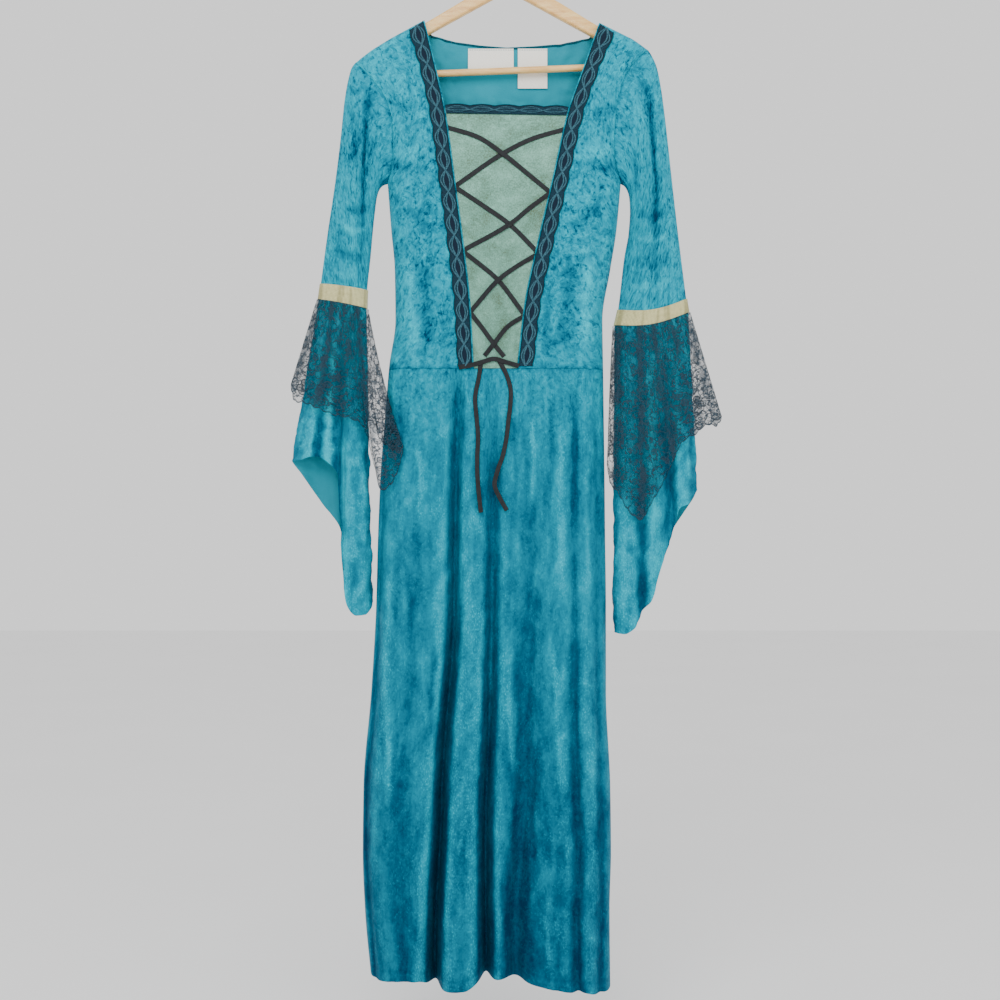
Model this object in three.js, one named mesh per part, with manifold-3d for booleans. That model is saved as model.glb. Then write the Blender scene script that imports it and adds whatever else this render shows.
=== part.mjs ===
// A medieval style gown of crushed velvet on a wooden hanger, in millimetres.
// +Z is up, the gown's front faces -Y, and the origin is the inside top of the hanger's hook.
// Left and right are the viewer's, facing the front.
import * as THREE from "three";
import { mergeVertices } from "three/addons/utils/BufferGeometryUtils.js";
import Module from "manifold-3d";

const wasm = await Module();
wasm.setup();

// Thicknesses and gaps
const velvet = 1.6;
const bellCloth = 1.4;
const laceCloth = 1.0;
const braid = 1.2;
const ribbon = 0.9;
const labelCloth = 0.8;
const seamGap = 0.3;
const halfGap = seamGap / 2;

// Heights that whole pieces share
const waistZ = -633;
const shoulderRound = 16;
const armholeDepth = 19;
const tubeSquareness = 0.5;
const backShare = 0.85;

// The body's silhouette below the armholes
const bodySides = [
  { z: -368, left: -168, right: 163 },
  { z: -433, left: -163, right: 157 },
  { z: -490, left: -158, right: 148 },
  { z: -561, left: -157, right: 137 },
  { z: -628, left: -166, right: 138 },
  { z: -703, left: -172, right: 139 },
  { z: -780, left: -178, right: 140 },
  { z: -876, left: -182, right: 141 },
  { z: -958, left: -184, right: 142 },
  { z: -1086, left: -191, right: 142 },
  { z: -1221, left: -202, right: 148 },
  { z: -1314, left: -203, right: 149 },
  { z: -1392, left: -200, right: 147 },
  { z: -1510, left: -189, right: 148 },
];

// How far the middle of each face stands out from the side seams, and how far in the sides round off
const bodyDepths = [
  { z: -136, front: 14, back: 12, round: 26 },
  { z: -205, front: 17, back: 13, round: 28 },
  { z: -255, front: 20, back: 15, round: 30 },
  { z: -320, front: 25, back: 19, round: 32 },
  { z: -400, front: 30, back: 23, round: 36 },
  { z: -530, front: 32, back: 26, round: 42 },
  { z: -633, front: 33, back: 28, round: 46 },
  { z: -800, front: 36, back: 32, round: 48 },
  { z: -950, front: 44, back: 39, round: 50 },
  { z: -1100, front: 53, back: 46, round: 54 },
  { z: -1300, front: 64, back: 54, round: 60 },
  { z: -1510, front: 72, back: 60, round: 62 },
];

// Armhole seams, from the shoulder tip to the underarm
const armholes = {
  left: [
    { z: -196, x: -214 },
    { z: -210, x: -201 },
    { z: -223, x: -189 },
    { z: -253, x: -169 },
    { z: -286, x: -160 },
    { z: -324, x: -159 },
    { z: -351, x: -162 },
    { z: -368, x: -168 },
  ],
  right: [
    { z: -178, x: 202 },
    { z: -191, x: 188 },
    { z: -209, x: 174 },
    { z: -233, x: 163 },
    { z: -263, x: 156 },
    { z: -315, x: 152 },
    { z: -344, x: 155 },
    { z: -368, x: 163 },
  ],
};

// Shoulder seams over the hanger, and the back neck edge between them
const shoulderSeam = [
  { x: -214, z: -196 },
  { x: -189, z: -178 },
  { x: -165, z: -163 },
  { x: -116, z: -136 },
  { x: 9, z: -70 },
  { x: 133, z: -140 },
  { x: 179, z: -163 },
  { x: 202, z: -178 },
];
const backNeck = [
  { x: -116, z: -136 },
  { x: -106, z: -153 },
  { x: -73, z: -162 },
  { x: -37, z: -167 },
  { x: 1, z: -170 },
  { x: 41, z: -168 },
  { x: 77, z: -165 },
  { x: 119, z: -157 },
  { x: 133, z: -140 },
];

// The deep front neckline, which runs down to the waist
const neckline = [
  { z: -136, left: -116, right: 134 },
  { z: -210, left: -98, right: 108 },
  { z: -270, left: -85, right: 87 },
  { z: -370, left: -71, right: 64 },
  { z: -460, left: -59, right: 43 },
  { z: -540, left: -50, right: 26 },
  { z: -633, left: -45, right: 15 },
];
const insertTop = { left: -266, right: -270 };

// Skirt folds: share of the width from the left at waist, middle and hem, half width, and depth there
const skirtFrontFolds = [
  { waist: 0.022, middle: 0.02, hem: 0.03, width: 5, deepWaist: 0, deepMiddle: 9, deepHem: 7 },
  { waist: 0.16, middle: 0.17, hem: 0.15, width: 15, deepWaist: 0, deepMiddle: 4, deepHem: 7 },
  { waist: 0.33, middle: 0.336, hem: 0.275, width: 10, deepWaist: 8, deepMiddle: 36, deepHem: 58 },
  { waist: 0.487, middle: 0.505, hem: 0.482, width: 10, deepWaist: 0, deepMiddle: 25, deepHem: 50 },
  { waist: 0.64, middle: 0.66, hem: 0.6, width: 20, deepWaist: 0, deepMiddle: 14, deepHem: 38 },
  { waist: 0.86, middle: 0.855, hem: 0.86, width: 8, deepWaist: 3, deepMiddle: 9, deepHem: 12 },
  { waist: 0.955, middle: 0.96, hem: 0.95, width: 6, deepWaist: 0, deepMiddle: 6, deepHem: 9 },
];
const skirtBackFolds = [
  { waist: 0.2, middle: 0.19, hem: 0.17, width: 13, deepWaist: 2, deepMiddle: 12, deepHem: 24 },
  { waist: 0.41, middle: 0.4, hem: 0.38, width: 14, deepWaist: 3, deepMiddle: 18, deepHem: 34 },
  { waist: 0.6, middle: 0.62, hem: 0.64, width: 12, deepWaist: 3, deepMiddle: 17, deepHem: 32 },
  { waist: 0.81, middle: 0.82, hem: 0.85, width: 14, deepWaist: 2, deepMiddle: 10, deepHem: 22 },
];
const foldFadeIn = 45;

// The skirt's hem, by share of the width from the left
const skirtHem = [
  { share: 0, front: -1483, back: -1484 },
  { share: 0.1, front: -1478, back: -1486 },
  { share: 0.25, front: -1476, back: -1480 },
  { share: 0.34, front: -1491, back: -1484 },
  { share: 0.43, front: -1489, back: -1489 },
  { share: 0.5, front: -1478, back: -1484 },
  { share: 0.6, front: -1477, back: -1480 },
  { share: 0.7, front: -1481, back: -1483 },
  { share: 0.8, front: -1488, back: -1490 },
  { share: 0.9, front: -1494, back: -1496 },
  { share: 1, front: -1502, back: -1502 },
];

// Sleeves from armhole to elbow: the two silhouette points of each ring, how much of the armhole's
// curve is left in it, its depth, and the long crease on its front (share across, depth)
const sleeves = {
  left: [
    { outerX: -214, outerZ: -196, innerX: -168, innerZ: -368, curve: 1, deep: 19, crease: 0.2, sink: 0 },
    { outerX: -219, outerZ: -203, innerX: -174, innerZ: -370, curve: 0.75, deep: 19, crease: 0.22, sink: 3 },
    { outerX: -224, outerZ: -220, innerX: -179, innerZ: -375, curve: 0.5, deep: 19, crease: 0.3, sink: 6 },
    { outerX: -229, outerZ: -248, innerX: -183, innerZ: -386, curve: 0.3, deep: 18, crease: 0.45, sink: 7 },
    { outerX: -235, outerZ: -305, innerX: -186, innerZ: -408, curve: 0.12, deep: 17, crease: 0.62, sink: 6 },
    { outerX: -243, outerZ: -369, innerX: -189, innerZ: -436, curve: 0, deep: 16, crease: 0.76, sink: 4 },
    { outerX: -253, outerZ: -436, innerX: -192, innerZ: -470, curve: 0, deep: 15, crease: 0.8, sink: 2 },
    { outerX: -263, outerZ: -510, innerX: -197, innerZ: -519, curve: 0, deep: 14, crease: 0.8, sink: 0 },
    { outerX: -266, outerZ: -532, innerX: -198, innerZ: -545, curve: 0, deep: 14, crease: 0.8, sink: 0 },
  ],
  right: [
    { outerX: 202, outerZ: -178, innerX: 163, innerZ: -368, curve: 1, deep: 19, crease: 0.2, sink: 0 },
    { outerX: 207, outerZ: -186, innerX: 168, innerZ: -371, curve: 0.75, deep: 19, crease: 0.16, sink: 2 },
    { outerX: 214, outerZ: -202, innerX: 172, innerZ: -377, curve: 0.5, deep: 19, crease: 0.17, sink: 4 },
    { outerX: 220, outerZ: -231, innerX: 175, innerZ: -388, curve: 0.3, deep: 18, crease: 0.2, sink: 7 },
    { outerX: 227, outerZ: -284, innerX: 176, innerZ: -408, curve: 0.12, deep: 17, crease: 0.3, sink: 8 },
    { outerX: 234, outerZ: -348, innerX: 174, innerZ: -438, curve: 0, deep: 17, crease: 0.37, sink: 7 },
    { outerX: 242, outerZ: -419, innerX: 168, innerZ: -472, curve: 0, deep: 16, crease: 0.42, sink: 4 },
    { outerX: 256, outerZ: -531, innerX: 159, innerZ: -547, curve: 0, deep: 15, crease: 0.45, sink: 0 },
    { outerX: 259, outerZ: -550, innerX: 154, innerZ: -569, curve: 0, deep: 15, crease: 0.45, sink: 0 },
  ],
};

// Hem of each long bell, once round from its outer corner, front half first
const bellHems = {
  left: [
    { around: 0, x: -304, y: 0, z: -761 },
    { around: 0.05, x: -290, y: -14, z: -760 },
    { around: 0.1, x: -276, y: -23, z: -756 },
    { around: 0.15, x: -266, y: -13, z: -755 },
    { around: 0.2, x: -251, y: -24, z: -763 },
    { around: 0.25, x: -238, y: -14, z: -778 },
    { around: 0.3, x: -231, y: -24, z: -873 },
    { around: 0.35, x: -223, y: -33, z: -961 },
    { around: 0.4, x: -209, y: -32, z: -978 },
    { around: 0.45, x: -196, y: -25, z: -977 },
    { around: 0.5, x: -189, y: -8, z: -963 },
    { around: 0.57, x: -191, y: 9, z: -956 },
    { around: 0.65, x: -208, y: 19, z: -927 },
    { around: 0.73, x: -228, y: 22, z: -887 },
    { around: 0.8, x: -240, y: 15, z: -851 },
    { around: 0.87, x: -264, y: 21, z: -821 },
    { around: 0.94, x: -287, y: 12, z: -787 },
  ],
  right: [
    { around: 0, x: 272, y: 0, z: -802 },
    { around: 0.06, x: 258, y: -15, z: -821 },
    { around: 0.12, x: 243, y: -23, z: -829 },
    { around: 0.17, x: 234, y: -14, z: -864 },
    { around: 0.22, x: 218, y: -24, z: -908 },
    { around: 0.28, x: 204, y: -30, z: -956 },
    { around: 0.33, x: 191, y: -20, z: -972 },
    { around: 0.38, x: 180, y: -27, z: -996 },
    { around: 0.43, x: 166, y: -28, z: -1004 },
    { around: 0.48, x: 152, y: -14, z: -1002 },
    { around: 0.53, x: 151, y: 2, z: -966 },
    { around: 0.59, x: 159, y: 14, z: -948 },
    { around: 0.66, x: 181, y: 21, z: -927 },
    { around: 0.74, x: 206, y: 13, z: -902 },
    { around: 0.82, x: 233, y: 21, z: -868 },
    { around: 0.89, x: 254, y: 15, z: -835 },
    { around: 0.95, x: 267, y: 8, z: -814 },
  ],
};

// Hem of each lace flounce in the same way, and how far its middle bows from a straight line
const laceHems = {
  left: [
    { around: 0, x: -306, y: 0, z: -653, bowX: 0, bowY: 0 },
    { around: 0.04, x: -298, y: -13, z: -677, bowX: 0, bowY: -2 },
    { around: 0.08, x: -283, y: -24, z: -680, bowX: 0, bowY: -3 },
    { around: 0.13, x: -264, y: -31, z: -688, bowX: 0, bowY: -4 },
    { around: 0.18, x: -242, y: -27, z: -697, bowX: 0, bowY: -4 },
    { around: 0.23, x: -219, y: -34, z: -702, bowX: 0, bowY: -5 },
    { around: 0.28, x: -203, y: -31, z: -710, bowX: 0, bowY: -5 },
    { around: 0.33, x: -194, y: -36, z: -727, bowX: -3, bowY: -5 },
    { around: 0.37, x: -184, y: -34, z: -768, bowX: -3, bowY: -5 },
    { around: 0.41, x: -174, y: -38, z: -803, bowX: -3, bowY: -4 },
    { around: 0.45, x: -162, y: -38, z: -797, bowX: -3, bowY: -2 },
    { around: 0.48, x: -151, y: -41, z: -778, bowX: -4, bowY: 0 },
    { around: 0.5, x: -142, y: -39, z: -743, bowX: -4, bowY: 0 },
    { around: 0.53, x: -155, y: -33, z: -748, bowX: -2, bowY: 2 },
    { around: 0.56, x: -166, y: -27, z: -741, bowX: -1, bowY: 3 },
    { around: 0.59, x: -177, y: -18, z: -731, bowX: 0, bowY: 4 },
    { around: 0.62, x: -182, y: -4, z: -722, bowX: 0, bowY: 3 },
    { around: 0.66, x: -183, y: 12, z: -713, bowX: 0, bowY: 2 },
    { around: 0.71, x: -194, y: 26, z: -704, bowX: 0, bowY: 3 },
    { around: 0.78, x: -222, y: 25, z: -696, bowX: 0, bowY: 3 },
    { around: 0.85, x: -252, y: 30, z: -686, bowX: 0, bowY: 3 },
    { around: 0.92, x: -280, y: 22, z: -672, bowX: 0, bowY: 2 },
    { around: 0.96, x: -297, y: 12, z: -662, bowX: 0, bowY: 1 },
  ],
  right: [
    { around: 0, x: 307, y: 0, z: -699, bowX: 0, bowY: 0 },
    { around: 0.04, x: 296, y: -13, z: -712, bowX: 0, bowY: -2 },
    { around: 0.08, x: 280, y: -24, z: -710, bowX: 0, bowY: -3 },
    { around: 0.13, x: 267, y: -31, z: -723, bowX: 0, bowY: -4 },
    { around: 0.17, x: 249, y: -28, z: -733, bowX: 0, bowY: -4 },
    { around: 0.21, x: 231, y: -36, z: -766, bowX: 0, bowY: -4 },
    { around: 0.25, x: 219, y: -32, z: -793, bowX: 0, bowY: -4 },
    { around: 0.29, x: 203, y: -38, z: -819, bowX: 0, bowY: -5 },
    { around: 0.34, x: 188, y: -34, z: -844, bowX: 0, bowY: -5 },
    { around: 0.39, x: 171, y: -37, z: -833, bowX: 0, bowY: -4 },
    { around: 0.44, x: 155, y: -30, z: -805, bowX: 0, bowY: -4 },
    { around: 0.48, x: 146, y: -20, z: -793, bowX: 0, bowY: -4 },
    { around: 0.5, x: 143, y: -8, z: -770, bowX: -1, bowY: -1 },
    { around: 0.54, x: 144, y: 6, z: -757, bowX: 0, bowY: 3 },
    { around: 0.58, x: 150, y: 19, z: -751, bowX: 0, bowY: 4 },
    { around: 0.64, x: 168, y: 28, z: -748, bowX: 0, bowY: 4 },
    { around: 0.71, x: 197, y: 24, z: -742, bowX: 0, bowY: 4 },
    { around: 0.78, x: 226, y: 31, z: -734, bowX: 0, bowY: 4 },
    { around: 0.85, x: 255, y: 27, z: -724, bowX: 0, bowY: 3 },
    { around: 0.91, x: 281, y: 22, z: -713, bowX: 0, bowY: 2 },
    { around: 0.96, x: 298, y: 11, z: -704, bowX: 0, bowY: 1 },
  ],
};
const laceStandoff = 1.9;
const laceHoles = { front: { rows: 3, columns: 7 }, back: { rows: 2, columns: 6 }, radius: 3.4, sides: 5 };

// Guipure trims on the neckline and across the insert
const trimWidth = 21;
const scallopRise = 1.6;
const scallopPitch = 30;
const samplesPerScallop = 4;
const trimSkew = 13;
const trimShoulderLift = 1.3;
const insertTrim = { height: 14, rise: 2.2, scallops: 5, leftZ: -274, rightZ: -277 };

// Lacing ribbons across the insert. Each crosses another at its middle point; lifts count ribbon
// layers at its start, middle and end
const ribbonWidth = 6.4;
const lacing = [
  { name: "one", from: [-81, -295], by: [-38, -309], over: [-5, -332], to: [58, -384], lift: [0, 1, 0] },
  { name: "two", from: [76, -299], by: [36, -311], over: [-5, -332], to: [-68, -376], lift: [0, 0, 0] },
  { name: "three", from: [-68, -382], by: [-33, -405], over: [5, -432], to: [41, -468], lift: [1, 0, 0] },
  { name: "four", from: [59, -390], by: [33, -409], over: [5, -432], to: [-56, -466], lift: [1, 1, 0] },
  { name: "five", from: [-56, -473], by: [-34, -490], over: [-11, -510], to: [23, -555], lift: [1, 0, 0] },
  { name: "six", from: [40, -476], by: [16, -490], over: [-11, -510], to: [-47, -551], lift: [1, 1, 0] },
  { name: "seven", from: [-47, -559], by: [-33, -577], over: [-17, -599], to: [-4, -615], lift: [1, 0, 0] },
  { name: "eight", from: [22, -562], by: [2, -575], over: [-17, -599], to: [-29, -614], lift: [1, 1, 0] },
];
const waistRibbon = [
  { x: -66, z: -632 },
  { x: -50, z: -629 },
  { x: -32, z: -624 },
  { x: -17, z: -620 },
  { x: -2, z: -624 },
  { x: 18, z: -630 },
];
const tails = {
  left: [
    { x: -35, z: -624.8 },
    { x: -38, z: -646 },
    { x: -43, z: -673 },
    { x: -41, z: -703 },
    { x: -39, z: -729 },
    { x: -40, z: -754 },
    { x: -40, z: -781 },
    { x: -38, z: -807 },
    { x: -35, z: -834 },
  ],
  right: [
    { x: -10, z: -621.8 },
    { x: 0, z: -641 },
    { x: 6, z: -661 },
    { x: 6, z: -682 },
    { x: 3, z: -708 },
    { x: 0, z: -733 },
    { x: -5, z: -756 },
    { x: -12, z: -776 },
    { x: -16, z: -796 },
    { x: -9, z: -813 },
    { x: 1, z: -831 },
  ],
};
const tailThickness = 1.4;
const tailStep = 13;
const tailLift = 2.2;

// Labels sewn inside the back neck
const labels = [
  { name: "label_wide", left: -54, right: 11, top: -172, bottom: -203 },
  { name: "label_care", left: 17, right: 59, top: -172, bottom: -229 },
];

// The hanger: each arm's outline from the front, its bar and its hook
const armThickness = 11;
const armBevel = 2.5;
const hangerArms = {
  left: [
    [2.8, -71],
    [-60, -108],
    [-118, -142.5],
    [-165, -169],
    [-187, -184],
    [-196, -193],
    [-199, -205],
    [-197, -221],
    [-192, -224],
    [-186, -220],
    [-185, -204],
    [-176, -193],
    [-110, -156],
    [2.8, -94],
  ],
  right: [
    [3.2, -71],
    [65, -105],
    [133, -146],
    [165, -162.5],
    [180, -172],
    [186, -181],
    [187, -192],
    [185, -206],
    [180, -209],
    [174, -205],
    [173, -190],
    [164, -181],
    [124, -160],
    [3.2, -94],
  ],
};
const barRadius = 4.7;
const barEnds = { left: [-184.6, -214.5], right: [172.6, -200.4] };
const hookWire = 1.8;
const hookRadius = 18;
const hookStem = { x: 3, z: -70.5 };

// A smooth reading of a table's column, with no overshoot between its rows
function read(table, key, at, column) {
  const falling = table[0][key] > table[table.length - 1][key];
  const rows = falling ? [...table].reverse() : table;
  const last = rows.length - 1;
  if (at <= rows[0][key]) return rows[0][column];
  if (at >= rows[last][key]) return rows[last][column];
  let i = 0;
  while (rows[i + 1][key] < at) i += 1;
  const slope = (k) => (rows[k + 1][column] - rows[k][column]) / (rows[k + 1][key] - rows[k][key]);
  const tangent = (k) => {
    if (k === 0) return slope(0);
    if (k === last) return slope(last - 1);
    const before = slope(k - 1);
    const after = slope(k);
    return before * after <= 0 ? 0 : (2 * before * after) / (before + after);
  };
  const span = rows[i + 1][key] - rows[i][key];
  const t = (at - rows[i][key]) / span;
  const start = rows[i][column];
  const end = rows[i + 1][column];
  const easedEnd = t * t * (3 - 2 * t);
  const bend = t * (1 - t) * span * (tangent(i) * (1 - t) - tangent(i + 1) * t);
  return start + (end - start) * easedEnd + bend;
}

const lerp = (a, b, t) => a + (b - a) * t;
const clamp = (value, low, high) => Math.min(Math.max(value, low), high);

// Quarter-ellipse rise from 0 at the edge to 1
function roundRise(share) {
  const left = 1 - clamp(share, 0, 1);
  return Math.sqrt(1 - left * left);
}

// Depth across a flattened tube, 0 at its two silhouette edges
const tubeRise = (share) => Math.sin(Math.PI * clamp(share, 0, 1)) ** tubeSquareness;

function armholePoint(side, share) {
  const table = armholes[side];
  const z = lerp(table[0].z, table[table.length - 1].z, share);
  return { x: read(table, "z", z, "x"), z, depth: armholeDepth * tubeRise(share) };
}

// The body's edge at a height: where it is, and how deep the cloth is there
function bodyEdge(side, z) {
  const table = armholes[side];
  const top = table[0];
  const pit = table[table.length - 1];
  if (z >= top.z) return { x: top.x, depth: 0 };
  if (z > pit.z) return armholePoint(side, (z - top.z) / (pit.z - top.z));
  return { x: read(bodySides, "z", z, side), depth: 0 };
}

// Straight readings of the shoulder line, which has corners at the neck
function straight(table, x) {
  let i = 0;
  while (i < table.length - 2 && table[i + 1].x < x) i += 1;
  const a = table[i];
  const b = table[i + 1];
  return lerp(a.z, b.z, (x - a.x) / (b.x - a.x));
}

const shoulderSlope = (x) => (straight(shoulderSeam, x + 4) - straight(shoulderSeam, x - 4)) / 8;

// How far the front or back of the body stands out at a place
function bodyDepth(face, x, z) {
  const left = bodyEdge("left", z);
  const right = bodyEdge("right", z);
  const fromLeft = Math.max(x - left.x, 0);
  const fromRight = Math.max(right.x - x, 0);
  const edge = (fromLeft < fromRight ? left : right).depth * (face === "back" ? backShare : 1);
  const side = roundRise(Math.min(fromLeft, fromRight) / read(bodyDepths, "z", z, "round"));
  const shoulder = roundRise((straight(shoulderSeam, x) - z) / shoulderRound);
  return edge + (read(bodyDepths, "z", z, face) * shoulder - edge) * side;
}

function bodyPoint(face, x, z) {
  const depth = Math.max(bodyDepth(face, x, z), halfGap);
  return new THREE.Vector3(x, face === "front" ? -depth : depth, z);
}

function bodyNormal(face, x, z) {
  const step = 0.5;
  const y = (px, pz) => bodyPoint(face, px, pz).y;
  const alongX = (y(x + step, z) - y(x - step, z)) / (2 * step);
  const alongZ = (y(x, z + step) - y(x, z - step)) / (2 * step);
  const normal = new THREE.Vector3(alongX, -1, alongZ).normalize();
  return face === "front" ? normal : normal.negate();
}

// A point lifted off the body's front or back
function liftedPoint(face, x, z, lift) {
  return bodyPoint(face, x, z).addScaledVector(bodyNormal(face, x, z), lift);
}

// Unit normals of a grid of points, the mean of the cells round each one, all turned to the side
// that has a known direction at one point
function gridNormals(grid, closed, known) {
  const rows = grid.length;
  const columns = grid[0].length;
  const cells = closed ? columns : columns - 1;
  const cellNormals = [];
  for (let i = 0; i < rows - 1; i += 1) {
    const row = [];
    for (let j = 0; j < cells; j += 1) {
      const next = (j + 1) % columns;
      const one = new THREE.Vector3().subVectors(grid[i + 1][next], grid[i][j]);
      const two = new THREE.Vector3().subVectors(grid[i + 1][j], grid[i][next]);
      row.push(two.cross(one).normalize());
    }
    cellNormals.push(row);
  }
  const normals = grid.map((row, i) =>
    row.map((point, j) => {
      const sum = new THREE.Vector3();
      for (const a of [i - 1, i])
        for (const b of [j - 1, j]) {
          const turned = closed ? (b + columns) % columns : b;
          if (cellNormals[a] && cellNormals[a][turned]) sum.add(cellNormals[a][turned]);
        }
      return sum.normalize();
    }),
  );
  const { row, column, direction } = known;
  if (normals[row][column].dot(direction) < 0) normals.flat().forEach((normal) => normal.negate());
  return normals;
}

// Normals of one ring, square to the tube's own direction there
function ringNormals(ring, axis, outward) {
  const count = ring.length;
  const normals = ring.map((point, j) => {
    const along = new THREE.Vector3().subVectors(ring[(j + 1) % count], ring[(j + count - 1) % count]);
    return along.cross(axis).normalize();
  });
  if (normals[0].dot(outward) < 0) normals.forEach((normal) => normal.negate());
  return normals;
}

// A closed wall of cloth: the outer points, and inner ones a thickness below them
function wallGeometry(grid, normals, thickness, closed) {
  const rows = grid.length;
  const columns = grid[0].length;
  const positions = [];
  for (const inner of [0, 1])
    for (let i = 0; i < rows; i += 1)
      for (let j = 0; j < columns; j += 1) {
        const point = grid[i][j].clone().addScaledVector(normals[i][j], -inner * thickness);
        positions.push(point.x, point.y, point.z);
      }
  const at = (inner, i, j) => inner * rows * columns + i * columns + (j % columns);
  const faces = [];
  const quad = (a, b, c, d) => faces.push(a, b, c, a, c, d);
  const lastColumn = closed ? columns : columns - 1;
  for (let i = 0; i < rows - 1; i += 1)
    for (let j = 0; j < lastColumn; j += 1) {
      quad(at(0, i, j), at(0, i, j + 1), at(0, i + 1, j + 1), at(0, i + 1, j));
      quad(at(1, i, j), at(1, i + 1, j), at(1, i + 1, j + 1), at(1, i, j + 1));
    }
  for (let j = 0; j < lastColumn; j += 1) {
    quad(at(0, 0, j), at(1, 0, j), at(1, 0, j + 1), at(0, 0, j + 1));
    quad(at(0, rows - 1, j), at(0, rows - 1, j + 1), at(1, rows - 1, j + 1), at(1, rows - 1, j));
  }
  if (!closed)
    for (let i = 0; i < rows - 1; i += 1) {
      quad(at(0, i, 0), at(0, i + 1, 0), at(1, i + 1, 0), at(1, i, 0));
      quad(at(0, i, columns - 1), at(1, i, columns - 1), at(1, i + 1, columns - 1), at(0, i + 1, columns - 1));
    }
  return facingOut(positions, faces);
}

// A geometry whose faces point out, whichever way its points ran
function facingOut(positions, faces) {
  const corner = (k) => new THREE.Vector3().fromArray(positions, faces[k] * 3);
  let volume = 0;
  for (let k = 0; k < faces.length; k += 3)
    volume += corner(k).dot(corner(k + 1).cross(corner(k + 2)));
  if (volume < 0)
    for (let k = 0; k < faces.length; k += 3)
      [faces[k + 1], faces[k + 2]] = [faces[k + 2], faces[k + 1]];
  const geometry = new THREE.BufferGeometry();
  geometry.setAttribute("position", new THREE.Float32BufferAttribute(positions, 3));
  geometry.setIndex(faces);
  geometry.computeVertexNormals();
  return geometry;
}

const gown = new THREE.Group();

const materials = {
  velvet: new THREE.MeshStandardMaterial({ color: 0x0a9db4, roughness: 0.55, metalness: 0 }),
  insert: new THREE.MeshStandardMaterial({ color: 0x9dbfa8, roughness: 0.5, metalness: 0.2 }),
  trim: new THREE.MeshStandardMaterial({ color: 0x27455c, roughness: 0.8, metalness: 0 }),
  lace: new THREE.MeshStandardMaterial({ color: 0x16262c, roughness: 0.85, metalness: 0 }),
  ribbon: new THREE.MeshStandardMaterial({ color: 0x34383d, roughness: 0.6, metalness: 0 }),
  band: new THREE.MeshStandardMaterial({ color: 0xcfc48d, roughness: 0.45, metalness: 0.3 }),
  label: new THREE.MeshStandardMaterial({ color: 0xf2f2ee, roughness: 0.7, metalness: 0 }),
  wood: new THREE.MeshStandardMaterial({ color: 0xe3bd8c, roughness: 0.55, metalness: 0 }),
  steel: new THREE.MeshStandardMaterial({ color: 0xc4c7c9, roughness: 0.3, metalness: 1 }),
};

function addPiece(name, geometry, material) {
  const mesh = new THREE.Mesh(geometry, materials[material]);
  mesh.name = name;
  gown.add(mesh);
}

// Steps down a lateral edge of the bodice: round the armhole, then down the side seam
const armholeSteps = [0, 0.025, 0.09, 0.24, 0.42, 0.6, 0.78, 0.91, 0.975, 1];
const pitShare = 0.42;
const sideSteps = [0.06, 0.2, 0.42, 0.68, 1];
const bodiceRows = [
  ...armholeSteps.map((share) => share * pitShare),
  ...sideSteps.map((share) => lerp(pitShare, 1, share)),
];

function bodiceEdge(side, down) {
  if (down <= pitShare) return armholePoint(side, down / pitShare);
  const pitZ = armholes[side][armholes[side].length - 1].z;
  const z = lerp(pitZ, waistZ, (down - pitShare) / (1 - pitShare));
  return { x: read(bodySides, "z", z, side), z };
}

// Direction across the armhole seam, from body to sleeve
const armholeAxis = { left: new THREE.Vector3(-1, 0, 0), right: new THREE.Vector3(1, 0, 0) };

// The wall's outward direction on an armhole seam, the same for bodice and sleeve
function armholeNormal(side, face, share) {
  const turn = face === "front" ? -1 : backShare;
  const point = (at) => {
    const place = armholePoint(side, clamp(at, 0, 1));
    return new THREE.Vector3(place.x, turn * place.depth, place.z);
  };
  const step = 0.012;
  if (share < step) return new THREE.Vector3(0, 0, 1);
  if (share > 1 - step) return new THREE.Vector3(0, 0, -1);
  const along = point(share + step).sub(point(share - step));
  const normal = along.cross(armholeAxis[side]).normalize();
  return Math.sign(normal.y) === Math.sign(turn) ? normal : normal.negate();
}

// A bodice panel between two lateral lines; near its top, rows bend to follow the top edge
function bodicePanel({ face, across, startAt, endAt, topZ, seams }) {
  const grid = bodiceRows.map((down, i) => {
    const start = startAt(down);
    const end = endAt(down);
    const fade = (1 - down) ** 4;
    return across.map((share) => {
      const x = lerp(start.x, end.x, share);
      const plain = lerp(start.z, end.z, share);
      const topX = lerp(startAt(0).x, endAt(0).x, share);
      const rise = topZ(topX) - lerp(startAt(0).z, endAt(0).z, share);
      const last = i === bodiceRows.length - 1;
      return bodyPoint(face, x, plain + rise * fade + (last ? halfGap : 0));
    });
  });
  const outward = new THREE.Vector3(0, face === "front" ? -1 : 1, 0);
  const middle = Math.floor(across.length / 2);
  const normals = gridNormals(grid, false, { row: 8, column: middle, direction: outward });
  const lastRow = bodiceRows.length - 1;
  for (let j = 0; j < across.length; j += 1) {
    const { x, z } = grid[0][j];
    if (z > straight(shoulderSeam, x) - 1) normals[0][j].set(-shoulderSlope(x), 0, 1).normalize();
    normals[lastRow][j].setZ(0).normalize();
  }
  for (const seam of seams) {
    const j = seam.column < 0 ? across.length - 1 : 0;
    for (let i = 0; i < grid.length; i += 1) {
      if (seam.kind === "neck") {
        if (i > 0) normals[i][j].setX(0).normalize();
        if (grid[i][j].z < insertTop.left + 12) normals[i][j].set(0, -1, 0);
        grid[i][j].x += seam.side === "left" ? -halfGap : halfGap;
        continue;
      }
      const toBody = armholeAxis[seam.side].x * -halfGap;
      if (bodiceRows[i] <= pitShare) {
        if (i > 0) normals[i][j].copy(armholeNormal(seam.side, face, bodiceRows[i] / pitShare));
        grid[i][j].x += toBody;
      } else normals[i][j].copy(armholeAxis[seam.side]);
    }
  }
  return wallGeometry(grid, normals, velvet, false);
}

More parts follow.
